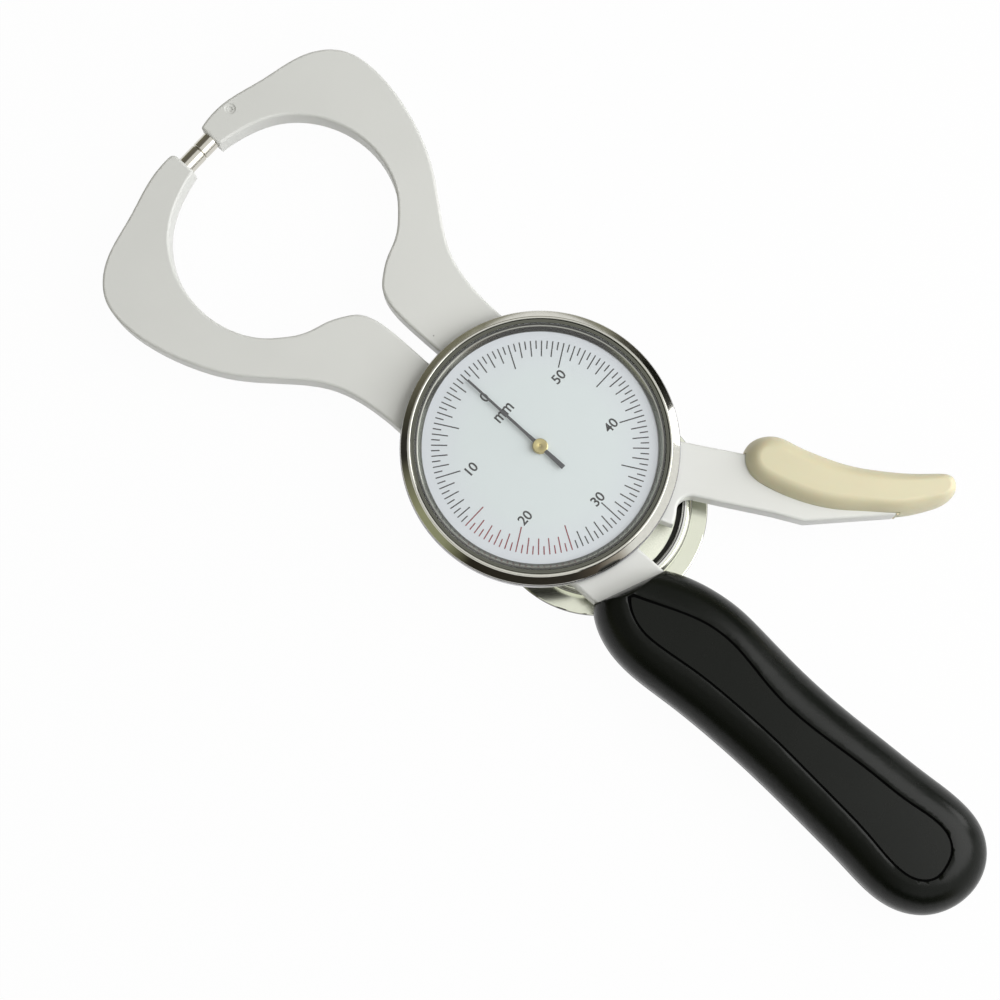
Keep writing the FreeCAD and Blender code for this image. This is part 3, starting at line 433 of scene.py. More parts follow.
def ground_steel(colours):
    """Ground tool steel: grey, with rings round the pivot."""
    material, tree, shader = start("ground_steel", linear("#9A9B9D"), 0.3, Metallic=1.0)
    emboss(tree, shader, lathe_marks(tree, PIVOT, 0.3), 0.006, 0.5)
    return material


def nylon_sheet(colours):
    """Punched nylon washer: milky and waxy."""
    material, tree, shader = start("nylon_sheet", linear("#E2E1D8"), 0.5, Subsurface_Weight=0.1,
                                   Subsurface_Scale=1.0 * MM)
    emboss(tree, shader, grain(tree, 0.8), 0.01, 0.5)
    return material


def zinc_plate(colours):
    """Zinc-plated screw steel: pale, a little blue and uneven."""
    material, tree, shader = start("zinc_plate", linear("#B4B5B6"), 0.27, Metallic=1.0)
    plug(tree, shader, "Base Color", mottled(tree, 1.2, linear("#A2A4A8"), linear("#C3C2BA")))
    return material


FINISHES = {
    "arm_enamel": stoved_enamel,
    "pin_steel": polished_pin_steel,
    "drum_polish": lapped_nickel,
    "blasted_alloy": blasted_plate,
    "case_alloy": turned_aluminium,
    "bezel_nickel": satin_nickel,
    "dial_enamel": sprayed_dial,
    "crystal_clear": watch_glass,
    "pointer_black": black_lacquer,
    "brass_turned": turned_brass,
    "handle_black": black_moulding,
    "grip_ivory": ivory_vinyl,
    "spring_steel": tempered_strip,
    "bare_steel": ground_steel,
    "washer_nylon": nylon_sheet,
    "screw_steel": zinc_plate,
}


def finish_of(slot, colours):
    """The material that stands for one of the record's slots, made once."""
    maker = FINISHES[slot]
    return bpy.data.materials.get(maker.__name__) or maker(colours)


# ---- shapes -------------------------------------------------------------------------------------
def outward(points, faces):
    """Faces turned so that the closed surface's signed volume is positive."""
    a, b, c = points[faces[:, 0]], points[faces[:, 1]], points[faces[:, 2]]
    volume = np.einsum("ij,ij->", a, np.cross(b, c))
    if faces.shape[1] == 4:
        d = points[faces[:, 3]]
        volume += np.einsum("ij,ij->", a, np.cross(c, d))
    return faces if volume > 0 else faces[:, ::-1]


def mesh_of(name, points, faces):
    """Mesh from arrays of points and equal-sided faces, with doubled and collapsed corners merged."""
    mesh = bpy.data.meshes.new(name)
    mesh.from_pydata(points.tolist(), [], faces.tolist())
    work = bmesh.new()
    work.from_mesh(mesh)
    bmesh.ops.remove_doubles(work, verts=work.verts, dist=SPECK)
    bmesh.ops.dissolve_degenerate(work, edges=work.edges, dist=SPECK)
    work.to_mesh(mesh)
    work.free()
    return mesh


def shade(piece):
    """Smooth shading between crisp edges, with flat faces kept flat by their area."""
    piece.data.shade_smooth()
    piece.data.set_sharp_from_angle(angle=SHARP_ANGLE)
    weights = piece.modifiers.new("Face weights", "WEIGHTED_NORMAL")
    weights.keep_sharp = True
    weights.weight = 95                  # per cent that a face's area counts


def settle(piece, body, material, nodes=()):
    """Puts a finished piece on its body with its material, in place of the nodes it stands for."""
    piece.data.materials.clear()
    piece.data.materials.append(material)
    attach(piece, body)
    if nodes:
        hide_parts(*nodes)
    return piece


def new_piece(name, mesh):
    """An object in the scene that shows a mesh."""
    piece = bpy.data.objects.new(name, mesh)
    bpy.context.scene.collection.objects.link(piece)
    return piece


def surface_piece(name, surface, facets=False):
    """An object from a surface's points and faces, shaded smoothly or with every facet crisp."""
    piece = new_piece(name, mesh_of(name, *surface))
    if facets:
        piece.data.shade_flat()
    else:
        shade(piece)
    return piece


def body_of(node):
    """The moving body that a solid belongs to."""
    return frame["nodes"][node]["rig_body"]


def slot_of(node):
    """The record's material slot of a solid."""
    return next(part["material_slot"] for part in frame["record"]["subparts"] if part["node"] == node)


def smooth_copy(node, colours, slot=None):
    """A merged copy of a solid's own surface, shaded smoothly, in place of the solid."""
    mesh = frame["nodes"][node].data.copy()
    work = bmesh.new()
    work.from_mesh(mesh)
    bmesh.ops.remove_doubles(work, verts=work.verts, dist=WELD)
    bmesh.ops.dissolve_degenerate(work, edges=work.edges, dist=SPECK)
    bmesh.ops.dissolve_limit(work, angle_limit=FLAT_ANGLE, verts=work.verts, edges=work.edges)
    work.to_mesh(mesh)
    work.free()
    mesh.normals_split_custom_set_from_vertices([(0.0, 0.0, 0.0)] * len(mesh.vertices))
    piece = new_piece(node + "_finished", mesh)
    shade(piece)
    slot = slot or slot_of(node)
    return settle(piece, body_of(node), finish_of(slot, colours), [node])


def coat_solid(node, colours):
    """Gives a solid that stays as it is the finish of its slot."""
    solid = frame["nodes"][node]
    solid.data.materials.clear()
    solid.data.materials.append(finish_of(slot_of(node), colours))


def rings_surface(radii, heights, centre):
    """Closed surface of revolution round an upright axis.

    radii is an array of one row per ring and one column per step round the axis, heights one value per
    ring; point = centre + radius * (cos a, sin a) at each ring's height, and the last ring joins the
    first one.
    """
    rings, steps = radii.shape
    angle = np.linspace(0, 2 * np.pi, steps, endpoint=False)
    x = centre[0] + radii * np.cos(angle)
    y = centre[1] + radii * np.sin(angle)
    z = np.repeat(np.asarray(heights)[:, None], steps, axis=1)
    points = np.stack([x, y, z], axis=-1).reshape(-1, 3)
    ring, step = np.meshgrid(np.arange(rings), np.arange(steps), indexing="ij")
    next_ring, next_step = (ring + 1) % rings, (step + 1) % steps
    corners = [ring * steps + step, ring * steps + next_step,
               next_ring * steps + next_step, next_ring * steps + step]
    faces = np.stack([corner.ravel() for corner in corners], axis=-1)
    return points, outward(points, faces)


def turned_surface(profile_mm, steps, centre):
    """The same for one profile of (radius, height) points in millimetres, turned round the axis."""
    profile = np.array(profile_mm) * MM
    radii = np.repeat(profile[:, :1], steps, axis=1)
    return rings_surface(radii, profile[:, 1], centre)


def bead(centre_r, centre_z, radius, start, end, count):
    """Points round a rounded edge: centre + radius * (cos a, sin a), from one angle to the other."""
    angle = np.radians(np.linspace(start, end, count))
    return [(centre_r + radius * np.cos(a), centre_z + radius * np.sin(a)) for a in angle]


def bar_surface(right, left, low, high):
    """Closed bar between two runs of points in plan, from one height to another.

    Each station k gives four corners, right[k] and left[k] at both heights; walls join every station to
    the next one, and a face closes each end.
    """
    loops = [np.c_[side, np.full(len(side), z)] for side, z in
             ((right, low), (right, high), (left, high), (left, low))]
    points = np.stack(loops, axis=1).reshape(-1, 3)
    start = 4 * np.arange(len(right) - 1)[:, None]
    walls = [start + np.array([k, (k + 1) % 4, (k + 1) % 4 + 4, k + 4]) for k in range(4)]
    ends = np.array([[3, 2, 1, 0], np.arange(4) + 4 * (len(right) - 1)])
    faces = np.concatenate(walls + [ends])
    return points, outward(points, faces)


def slabs(corners, low, high):
    """Thin closed slabs from quadrilaterals in plan, shape (count, 4, 2): each one at both heights."""
    count = len(corners)
    bottom = np.concatenate([corners, np.full((count, 4, 1), low)], axis=2)
    top = np.concatenate([corners, np.full((count, 4, 1), high)], axis=2)
    points = np.concatenate([bottom, top], axis=1).reshape(-1, 3)
    box = np.array([[3, 2, 1, 0], [4, 5, 6, 7], [0, 1, 5, 4], [1, 2, 6, 5], [2, 3, 7, 6], [3, 0, 4, 7]])
    faces = (box[None] + 8 * np.arange(count)[:, None, None]).reshape(-1, 4)
    return points, outward(points, faces)


def around(radius, *degrees):
    """Places on a circle round the pivot, in millimetres: radius * (cos a, sin a)."""
    return [(radius * np.cos(np.radians(a)), radius * np.sin(np.radians(a))) for a in degrees]


# ---- sizes and colours --------------------------------------------------------------------------
def length(name, description, value_mm):
    """A size that a user can change."""
    return bpy.props.FloatProperty(name=name, description=description, default=value_mm * MM,
                                   min=0.0, unit="LENGTH")


def tint(name, description, hex_code):
    """A colour that a user can change."""
    return bpy.props.FloatVectorProperty(name=name, description=description, default=linear(hex_code),
                                         min=0.0, max=1.0, size=3, subtype="COLOR")


class CaliperSizes(bpy.types.PropertyGroup):
    """Sizes of the details that the solids leave smooth."""
    knurl_pitch: length("Knurl pitch", "Distance between two teeth on the bezel's skirt", 0.38)
    knurl_depth: length("Knurl depth", "Depth of the teeth on the bezel's skirt", 0.14)
    long_tick: length("Long mark", "Length of a five millimetre mark on the dial", 6.5)
    middle_tick: length("Middle mark", "Length of a whole millimetre mark", 4.1)
    short_tick: length("Short mark", "Length of a half millimetre mark", 2.15)
    tick_width: length("Mark width", "Width of a printed mark", 0.31)
    figure_height: length("Figure height", "Height of the dial's figures", 2.6)
    unit_height: length("Unit height", "Height of the unit's small letters", 2.2)
    ink_height: length("Ink thickness", "How far the print stands on the dial", 0.02)


class CaliperColours(bpy.types.PropertyGroup):
    """Colours of the finishes."""
    enamel: tint("Arm enamel", "Both jaw arms", "#D9DAD6")
    nickel: tint("Bezel nickel", "The turning bezel", "#E4E3DA")
    dial: tint("Dial", "The dial's ground", "#CFD8D9")
    dial_rim: tint("Dial rim", "The ground near the dial's edge", "#CDD2D8")
    ink: tint("Ink", "Marks and figures", "#0A0B0E")
    red_ink: tint("Red ink", "Marks from 15 to 25", "#86202E")
    pointer: tint("Pointer", "The pointer's lacquer", "#37393C")
    brass: tint("Brass", "The pointer's hub", "#CBBE85")
    handle: tint("Handle", "Both halves of the handle", "#0C0F0A")
    grip: tint("Grip", "The lever's grip", "#D3CCAC")


# ---- operators ----------------------------------------------------------------------------------
class CALIPER_OT_arms(bpy.types.Operator):
    """Enamel on both jaw arms, and the painted-over set screw"""
    bl_idname = "caliper.arms"
    bl_label = "Jaw arms"

    def execute(self, context):
        colours = context.scene.caliper_colours
        for node in ("handle_arm", "lever_arm"):
            smooth_copy(node, colours)
        smooth_copy("moving_jaw_set_screw", colours, slot="arm_enamel")
        smooth_copy("fixed_jaw_set_screw", colours)
        return {"FINISHED"}


class CALIPER_OT_pins(bpy.types.Operator):
    """Polished contact pins"""
    bl_idname = "caliper.pins"
    bl_label = "Contact pins"

    def execute(self, context):
        for node in ("fixed_jaw_pin", "moving_jaw_pin"):
            smooth_copy(node, context.scene.caliper_colours)
        return {"FINISHED"}


class CALIPER_OT_pivot(bpy.types.Operator):
    """Shaft, bush, washers and clip of the lap joint"""
    bl_idname = "caliper.pivot"
    bl_label = "Pivot"

    def execute(self, context):
        for node in ("pivot_shaft", "pivot_bush", "lap_washer", "thrust_washer", "retaining_clip"):
            smooth_copy(node, context.scene.caliper_colours)
        return {"FINISHED"}


class CALIPER_OT_drum(bpy.types.Operator):
    """Spring drum with its polished rim, cover and main spring"""
    bl_idname = "caliper.drum"
    bl_label = "Spring drum"

    # Radius and height: two fine grooves part the rim's flat top from its rounded shoulders.
    RIM = ((21.4, 5.5), (21.2, 5.6), (21.18, 6.5), (21.26, 6.84), (21.44, 7.02), (21.62, 7.08),
           (21.66, 6.96), (21.74, 6.96), (21.78, 7.12), (22.56, 7.12), (22.6, 6.94), (22.76, 6.94),
           (22.8, 7.04), (23.2, 6.98), (23.6, 6.76), (23.88, 6.44), (24.02, 6.0), (24.02, 5.6), (23.8, 5.5))

    RIM_STEPS = 240
    STRIP = 0.5                          # thickness of the main spring
    BACK, FRONT = 2.4, 4.4               # heights of its two edges
    COIL = (5.0, 17.6)                   # radius of its first and last turn
    TURNS = 4
    STATIONS = 96                        # points in one turn
    HOOK = (17.4, 19.6)                  # outer end, in the drum's wall
    TAIL = (-3.6, 4.7)                   # inner end, in the shaft's slot

    def execute(self, context):
        colours = context.scene.caliper_colours
        for node in ("spring_drum", "spring_cover"):
            smooth_copy(node, colours)
        self.main_spring(colours)
        rim = surface_piece("drum_rim", turned_surface(self.RIM, self.RIM_STEPS, PIVOT))
        settle(rim, "handle_body", mirror_nickel(colours))
        return {"FINISHED"}

    def main_spring(self, colours):
        """Flat spiral in the drum, and its tail in the shaft's slot, which turns with the lever.

        The coil's middle line is (r cos a, r sin a), where r grows evenly with a from the first turn to
        the last, and its sides lie half the strip's thickness in and out.
        """
        steel = finish_of("spring_steel", colours)
        half = self.STRIP / 2
        angle = np.linspace(0.0, 2 * np.pi * self.TURNS, self.STATIONS * self.TURNS + 1)
        radius = self.COIL[0] + (self.COIL[1] - self.COIL[0]) * angle / angle[-1]
        ray = np.stack([np.cos(angle), np.sin(angle)], axis=-1)
        coil = ((radius + half)[:, None] * ray, (radius - half)[:, None] * ray)
        runs = (("main_spring_coil", "handle_body", ["main_spring"], coil),
                ("main_spring_hook", "handle_body", [], self.straight(*self.HOOK)),
                ("main_spring_tail", "lever_body", [], self.straight(*self.TAIL)))
        for name, body, nodes, (right, left) in runs:
            strip = bar_surface(right * MM, left * MM, self.BACK * MM, self.FRONT * MM)
            settle(surface_piece(name, strip), body, steel, nodes)

    def straight(self, start, end):
        """Both sides of a straight piece of the strip along X."""
        half = self.STRIP / 2
        return np.array([(start, -half), (end, -half)]), np.array([(start, half), (end, half)])


class CALIPER_OT_movement(bpy.types.Operator):
    """Sector, pinion, bridge and case behind the dial"""
    bl_idname = "caliper.movement"
    bl_label = "Movement"

    def execute(self, context):
        colours = context.scene.caliper_colours
        for node in ("gear_sector", "pinion_arbor", "movement_bridge", "bridge_pillars", "bridge_screws",
                     "sector_screws", "dial_case_screws", "bezel_snap_ring", "dial_clip_ring"):
            coat_solid(node, colours)
        smooth_copy("dial_case", colours)
        return {"FINISHED"}


class CALIPER_OT_bezel(bpy.types.Operator):
    """Turning bezel: a coned ring with a narrow crest and a funnel to the dial, on a knurled skirt"""
    bl_idname = "caliper.bezel"
    bl_label = "Bezel"

    # Radius and height round the ring: skirt's top, cone, crest, step, funnel and hidden back.
    RING = ([(34.4, 18.0), (35.0, 18.04), (35.08, 18.2), (35.08, 18.48), (35.05, 18.56), (34.98, 18.62),
             (33.32, 19.98), (33.22, 20.12), (33.2, 20.26)]
            + bead(33.02, 20.72, 0.18, 0, 90, 5) + bead(32.74, 20.72, 0.18, 90, 175, 5)
            + [(32.5, 20.52), (32.38, 20.42), (31.62, 20.4), (31.6, 20.36), (31.6, 19.9), (31.4, 19.9),
               (31.14, 19.56)]
            + bead(30.84, 19.38, 0.12, 80, 150, 4)
            + [(29.84, 18.42), (29.77, 18.32), (29.75, 18.22), (29.75, 18.0), (30.9, 18.0), (30.9, 17.6),
               (31.4, 17.6), (31.4, 17.25), (31.0, 17.25), (31.0, 17.0), (32.6, 17.0), (32.6, 15.12),
               (34.4, 15.12)])
    SKIRT = ((34.3, 15.1), (35.05, 15.1), (35.36, 15.34), (35.36, 16.5), (35.2, 16.58), (35.2, 16.7),
             (35.36, 16.78), (35.36, 17.8), (35.0, 18.1), (34.3, 18.1))
    KNURLED = (0.0, 0.3, 1.0, 1.0, 0.3, 0.3, 1.0, 1.0, 0.3, 0.0)      # share of the knurl's depth
    STEPS = 360

    def execute(self, context):
        colours = context.scene.caliper_colours
        material = finish_of("bezel_nickel", colours)
        ring = surface_piece("bezel", turned_surface(self.RING, self.STEPS, DIAL))
        settle(ring, "bezel_body", material, ["bezel_ring"])
        skirt = surface_piece("bezel_knurl", self.knurled_skirt(context.scene.caliper_sizes), facets=True)
        settle(skirt, "bezel_body", knurled_nickel(colours))
        return {"FINISHED"}

    def knurled_skirt(self, sizes):
        """Skirt whose radius drops by the knurl's depth between teeth: r - depth * triangle wave."""
        profile = np.array(self.SKIRT) * MM
        teeth = round(2 * np.pi * profile[:, 0].max() / sizes.knurl_pitch)
        wave = np.tile([0.0, 0.5, 1.0, 0.5], teeth)
        dip = np.array(self.KNURLED)[:, None] * wave * sizes.knurl_depth
        return rings_surface(profile[:, :1] - dip, profile[:, 1], DIAL)


class CALIPER_OT_dial(bpy.types.Operator):
    """Dial plate with its printed marks, figures and unit"""
    bl_idname = "caliper.dial"
    bl_label = "Dial"

    # Text, then its middle's X and Y in millimetres.
    FIGURES = (("0", -0.65, 38.15), ("10", -16.35, 28.35), ("20", -16.7, 10.0), ("30", -1.03, -0.35),
               ("40", 15.2, 9.65), ("50", 15.8, 27.75))
    UNIT = ("mm", -0.3, 31.8)
    NARROWING = 0.82                     # width of the unit's letters against their height
    INK_SINK = 0.005                     # how far the marks reach into the plate

    def execute(self, context):
        colours = context.scene.caliper_colours
        sizes = context.scene.caliper_sizes
        coat_solid("dial_plate", colours)
        black = printing_ink("black_ink", colours.ink)
        red = printing_ink("red_ink", colours.red_ink)
        marks = np.arange(TICKS)
        is_red = np.isin(marks, list(RED_TICKS))
        runs = (("dial_marks", marks[~is_red], black), ("dial_red_marks", marks[is_red], red))
        for name, chosen, ink in runs:
            printed = surface_piece(name, self.ticks(chosen, sizes), facets=True)
            settle(printed, "bezel_body", ink)
        lettering = [(*figure, sizes.figure_height, "0", 1.0) for figure in self.FIGURES]
        lettering.append((*self.UNIT, sizes.unit_height, "x", self.NARROWING))
        figures = new_piece("dial_figures", self.lettering_mesh(lettering, sizes.ink_height))
        figures.data.shade_flat()
        settle(figures, "bezel_body", black)
        return {"FINISHED"}

    def ticks(self, marks, sizes):
        """Radial bars of three lengths, three degrees apart, ending on one circle.

        Bar k points along a = zero + 3 k degrees, from the scale's radius less its length to that radius.
        """
        angle = np.radians(ZERO_ANGLE + 360 / TICKS * marks)
        reach = np.where(marks % 10 == 0, sizes.long_tick,
                         np.where(marks % 2 == 0, sizes.middle_tick, sizes.short_tick))
        along = np.stack([np.cos(angle), np.sin(angle)], axis=-1)
        across = np.stack([-along[:, 1], along[:, 0]], axis=-1) * sizes.tick_width / 2
        centre = np.array([DIAL.x, DIAL.y])
        outer = centre + along * SCALE_OUTER
        inner = centre + along * (SCALE_OUTER - reach)[:, None]
        corners = np.stack([inner - across, outer - across, outer + across, inner + across], axis=1)
        return slabs(corners, DIAL_FACE - self.INK_SINK * MM, DIAL_FACE + sizes.ink_height)

    def lettering_mesh(self, lettering, thickness):
        """One mesh of all the figures, each centred on its place and upright towards +Y."""
        joined = bmesh.new()
        for text, x_mm, y_mm, height, gauge, width in lettering:
            mesh = letter_mesh(text, height / letter_height(gauge), thickness)
            mesh.transform(Matrix.Diagonal((width, 1.0, 1.0, 1.0)))
            mesh.transform(Matrix.Translation((x_mm * MM, y_mm * MM, DIAL_FACE)))
            joined.from_mesh(mesh)
            bpy.data.meshes.remove(mesh)
        whole = bpy.data.meshes.new("dial_figures")
        joined.to_mesh(whole)
        joined.free()
        return whole


BOLDNESS = 0.016                     # how far a letter's outline is pushed out, against its size


def letter_mesh(text, size, thickness):
    """Bold lettering as a mesh centred on the origin, lying flat, extruded by the ink's thickness."""
    curve = bpy.data.curves.new("lettering", "FONT")
    curve.body = text
    curve.size = size
    curve.offset = BOLDNESS * size
    curve.extrude = thickness
    carrier = bpy.data.objects.new("lettering", curve)
    bpy.context.scene.collection.objects.link(carrier)
    bpy.context.view_layer.update()
    mesh = bpy.data.meshes.new_from_object(carrier)
    bpy.data.objects.remove(carrier)
    corners = corners_of(mesh)
    middle = (corners.min(axis=0) + corners.max(axis=0)) / 2
    mesh.transform(Matrix.Translation((-middle[0], -middle[1], 0.0)))
    return mesh


def corners_of(mesh):
    """A mesh's corners as an array of one row each."""
    flat = np.empty(3 * len(mesh.vertices))
    mesh.vertices.foreach_get("co", flat)
    return flat.reshape(-1, 3)


def letter_height(character):
    """Height of one character at size 1."""
    mesh = letter_mesh(character, 1.0, 0.0)
    height = np.ptp(corners_of(mesh)[:, 1])
    bpy.data.meshes.remove(mesh)
    return float(height)


class CALIPER_OT_pointer(bpy.types.Operator):
    """Lacquered pointer on its brass hub, which is drilled for the pinion's end"""
    bl_idname = "caliper.pointer"
    bl_label = "Pointer"

    # Distance from the axis towards the tip, and half the blade's width there.
    BLADE = ((-8.0, 0.62), (0.0, 0.45), (2.4, 0.48), (5.5, 0.35), (24.9, 0.29))
    BLADE_BACK, BLADE_FRONT = 18.9, 19.15
    # Radius and height, from the back round the flange and the front into the drilled hole.
    HUB = ((0.0, 18.3), (1.9, 18.3), (1.98, 18.36), (1.98, 18.86), (1.84, 18.92), (1.84, 19.46),
           (1.8, 19.56), (1.74, 19.6), (1.68, 19.6), (0.44, 19.6), (0.38, 19.58), (0.34, 19.5),
           (0.3, 19.2), (0.0, 19.2))
    HUB_STEPS = 96

    def execute(self, context):
        colours = context.scene.caliper_colours
        blade = surface_piece("pointer_blade", self.blade(), facets=True)
        settle(blade, body_of("pointer"), finish_of("pointer_black", colours),
               ["pointer"])
        hub = surface_piece("drilled_hub", turned_surface(self.HUB, self.HUB_STEPS, DIAL))
        settle(hub, body_of("pointer_hub"), finish_of("brass_turned", colours),
               ["pointer_hub"])
        return {"FINISHED"}

    def blade(self):
        """Bar along the zero mark's direction whose width changes between the stations."""
        stations = np.array(self.BLADE) * MM
        turn = np.radians(ZERO_ANGLE)
        along = np.array([np.cos(turn), np.sin(turn)])
        across = np.array([-along[1], along[0]])
        spine = np.array([DIAL.x, DIAL.y]) + stations[:, :1] * along
        right, left = spine - stations[:, 1:] * across, spine + stations[:, 1:] * across
        return bar_surface(right, left, self.BLADE_BACK * MM, self.BLADE_FRONT * MM)


class CALIPER_OT_crystal(bpy.types.Operator):
    """Clear window in the bezel, with a small bevel round its front"""
    bl_idname = "caliper.crystal"
    bl_label = "Crystal"

    WINDOW = ((0.0, 19.92), (31.52, 19.92), (31.54, 19.95), (31.54, 20.42), (31.46, 20.5), (0.0, 20.5))
    STEPS = 180

    def execute(self, context):
        window = surface_piece("crystal_window", turned_surface(self.WINDOW, self.STEPS, DIAL))
        settle(window, "bezel_body",
               finish_of("crystal_clear", context.scene.caliper_colours), ["crystal"])
        # Only the eye's own rays meet the window, so the dial below is lit just once.
        window.visible_shadow = False
        window.visible_diffuse = False
        window.visible_glossy = False
        return {"FINISHED"}


class CALIPER_OT_handle(bpy.types.Operator):
    """Both halves of the black handle, and a dead black strip on the bottom of the line round the front
    panel, as painted shade
    """
    bl_idname = "caliper.handle"
    bl_label = "Handle"

    GROOVE_FLOOR = 21.6                  # height of the engraved line's bottom
    GROOVE_FILL = 0.12                   # thickness of the black strip on it, which paints the groove's shade

    def execute(self, context):
        colours = context.scene.caliper_colours
        for node in ("handle_front_scale", "handle_rear_scale"):
            smooth_copy(node, colours)
        line = new_piece("panel_line", self.groove_fill())
        line.data.shade_flat()
        settle(line, "handle_body", dusty_groove(colours))
        return {"FINISHED"}

    def groove_fill(self):
        """The groove's own floor, thickened upwards into a closed strip."""
        mesh = frame["nodes"]["handle_front_scale"].data.copy()
        work = bmesh.new()
        work.from_mesh(mesh)
        floor = self.GROOVE_FLOOR * MM
        walls = [face for face in work.faces if any(abs(v.co.z - floor) > WELD for v in face.verts)]
        bmesh.ops.delete(work, geom=walls, context="FACES")
        bmesh.ops.remove_doubles(work, verts=work.verts, dist=WELD)
        raised = bmesh.ops.extrude_face_region(work, geom=work.faces[:], use_keep_orig=True)
        for part in raised["geom"]:
            if isinstance(part, bmesh.types.BMVert):
                part.co.z += self.GROOVE_FILL * MM
        bmesh.ops.recalc_face_normals(work, faces=work.faces)
        work.to_mesh(mesh)
        work.free()
        return mesh


class CALIPER_OT_grip(bpy.types.Operator):
    """Ivory grip on the lever, closed round the corner of the lever's end"""
    bl_idname = "caliper.grip"
    bl_label = "Lever grip"

    CORNER = Vector((47.0, -58.43, 0.0)) * MM
    PLUG = ((0.0, 7.6), (0.4, 7.6), (0.4, 14.36), (0.32, 14.44), (0.0, 14.44))
    STEPS = 24

    def execute(self, context):
        colours = context.scene.caliper_colours
        grip = smooth_copy("lever_grip", colours)
        corner = surface_piece("grip_corner", turned_surface(self.PLUG, self.STEPS, self.CORNER))
        settle(corner, "lever_body", grip.data.materials[0])
        return {"FINISHED"}


class CALIPER_OT_screws(bpy.types.Operator):
    """Screws with socket heads in the handle, drum, cover and grip"""
    bl_idname = "caliper.screws"
    bl_label = "Screws"

    # Node: body, places, heights of tip, head seat and head face, shank radius and head radius.
    SCREWS = {
        "handle_screws": ("handle_body", ((-12.5, -42.0), (-12.5, -74.0), (-12.5, -103.0)),
                          17.5, 3.0, 1.0, 1.5, 2.7),
        "drum_screws": ("handle_body", around(22.6, 112, 138, 222, 248), 12.0, 1.5, 0.1, 1.25, 2.3),
        "spring_cover_screws": ("handle_body", around(19.5, 20, 140, 260), 3.5, 5.6, 6.0, 0.5, 0.9),
        "grip_screws": ("lever_body", ((36.5, -31.0), (43.0, -47.0)), 16.5, 5.6, 4.0, 1.25, 2.3),
    }
    STEPS = 48
    TIP_BEVEL = 0.2
    LIP_BEVEL = 0.05                     # depth of the bevel round the socket's mouth
    LIP = 1.04                           # width of that mouth against the socket's
    HEAD_BEVEL = 0.12                    # against the head's radius
    SOCKET = 0.45                        # half the socket's width, against the head's radius
    SOCKET_DEPTH = 0.6                   # against the head's height

    def execute(self, context):
        material = finish_of("screw_steel", context.scene.caliper_colours)
        for node, (body, places, tip, seat, face, shank, head) in self.SCREWS.items():
            parts = [self.socket_screw(place, tip, seat, face, shank, head) for place in places]
            count = len(parts[0][0])
            points = np.concatenate([part[0] for part in parts])
            faces = np.concatenate([part[1] + k * count for k, part in enumerate(parts)])
            piece = surface_piece(node + "_socketed", (points, faces))
            settle(piece, body, material, [node])
        return {"FINISHED"}

    def socket_screw(self, place, tip, seat, face, shank, head):
        """Screw of revolution whose head has a hexagonal socket.

        The socket's rings follow a hexagon: radius = flat / cos(angle from the nearest flat).
        """
        up = 1 if face > seat else -1
        angle = np.linspace(0, 2 * np.pi, self.STEPS, endpoint=False)
        round_ring = np.ones(self.STEPS)
        hexagon = 1 / np.cos((angle + np.pi / 6) % (np.pi / 3) - np.pi / 6)
        flat = self.SOCKET * head
        floor = face - up * self.SOCKET_DEPTH * abs(face - seat)
        bevel = self.HEAD_BEVEL * head
        rows = [(0.0 * round_ring, tip), ((shank - self.TIP_BEVEL) * round_ring, tip),
                (shank * round_ring, tip + up * self.TIP_BEVEL),
                (shank * round_ring, seat), (head * round_ring, seat),
                (head * round_ring, face - up * bevel), ((head - bevel) * round_ring, face),
                (flat * self.LIP * hexagon, face), (flat * hexagon, face - up * self.LIP_BEVEL),
                (flat * hexagon, floor), (0.0 * round_ring, floor)]
        radii = np.array([row[0] for row in rows]) * MM
        heights = np.array([row[1] for row in rows]) * MM
        return rings_surface(radii, heights, (place[0] * MM, place[1] * MM))


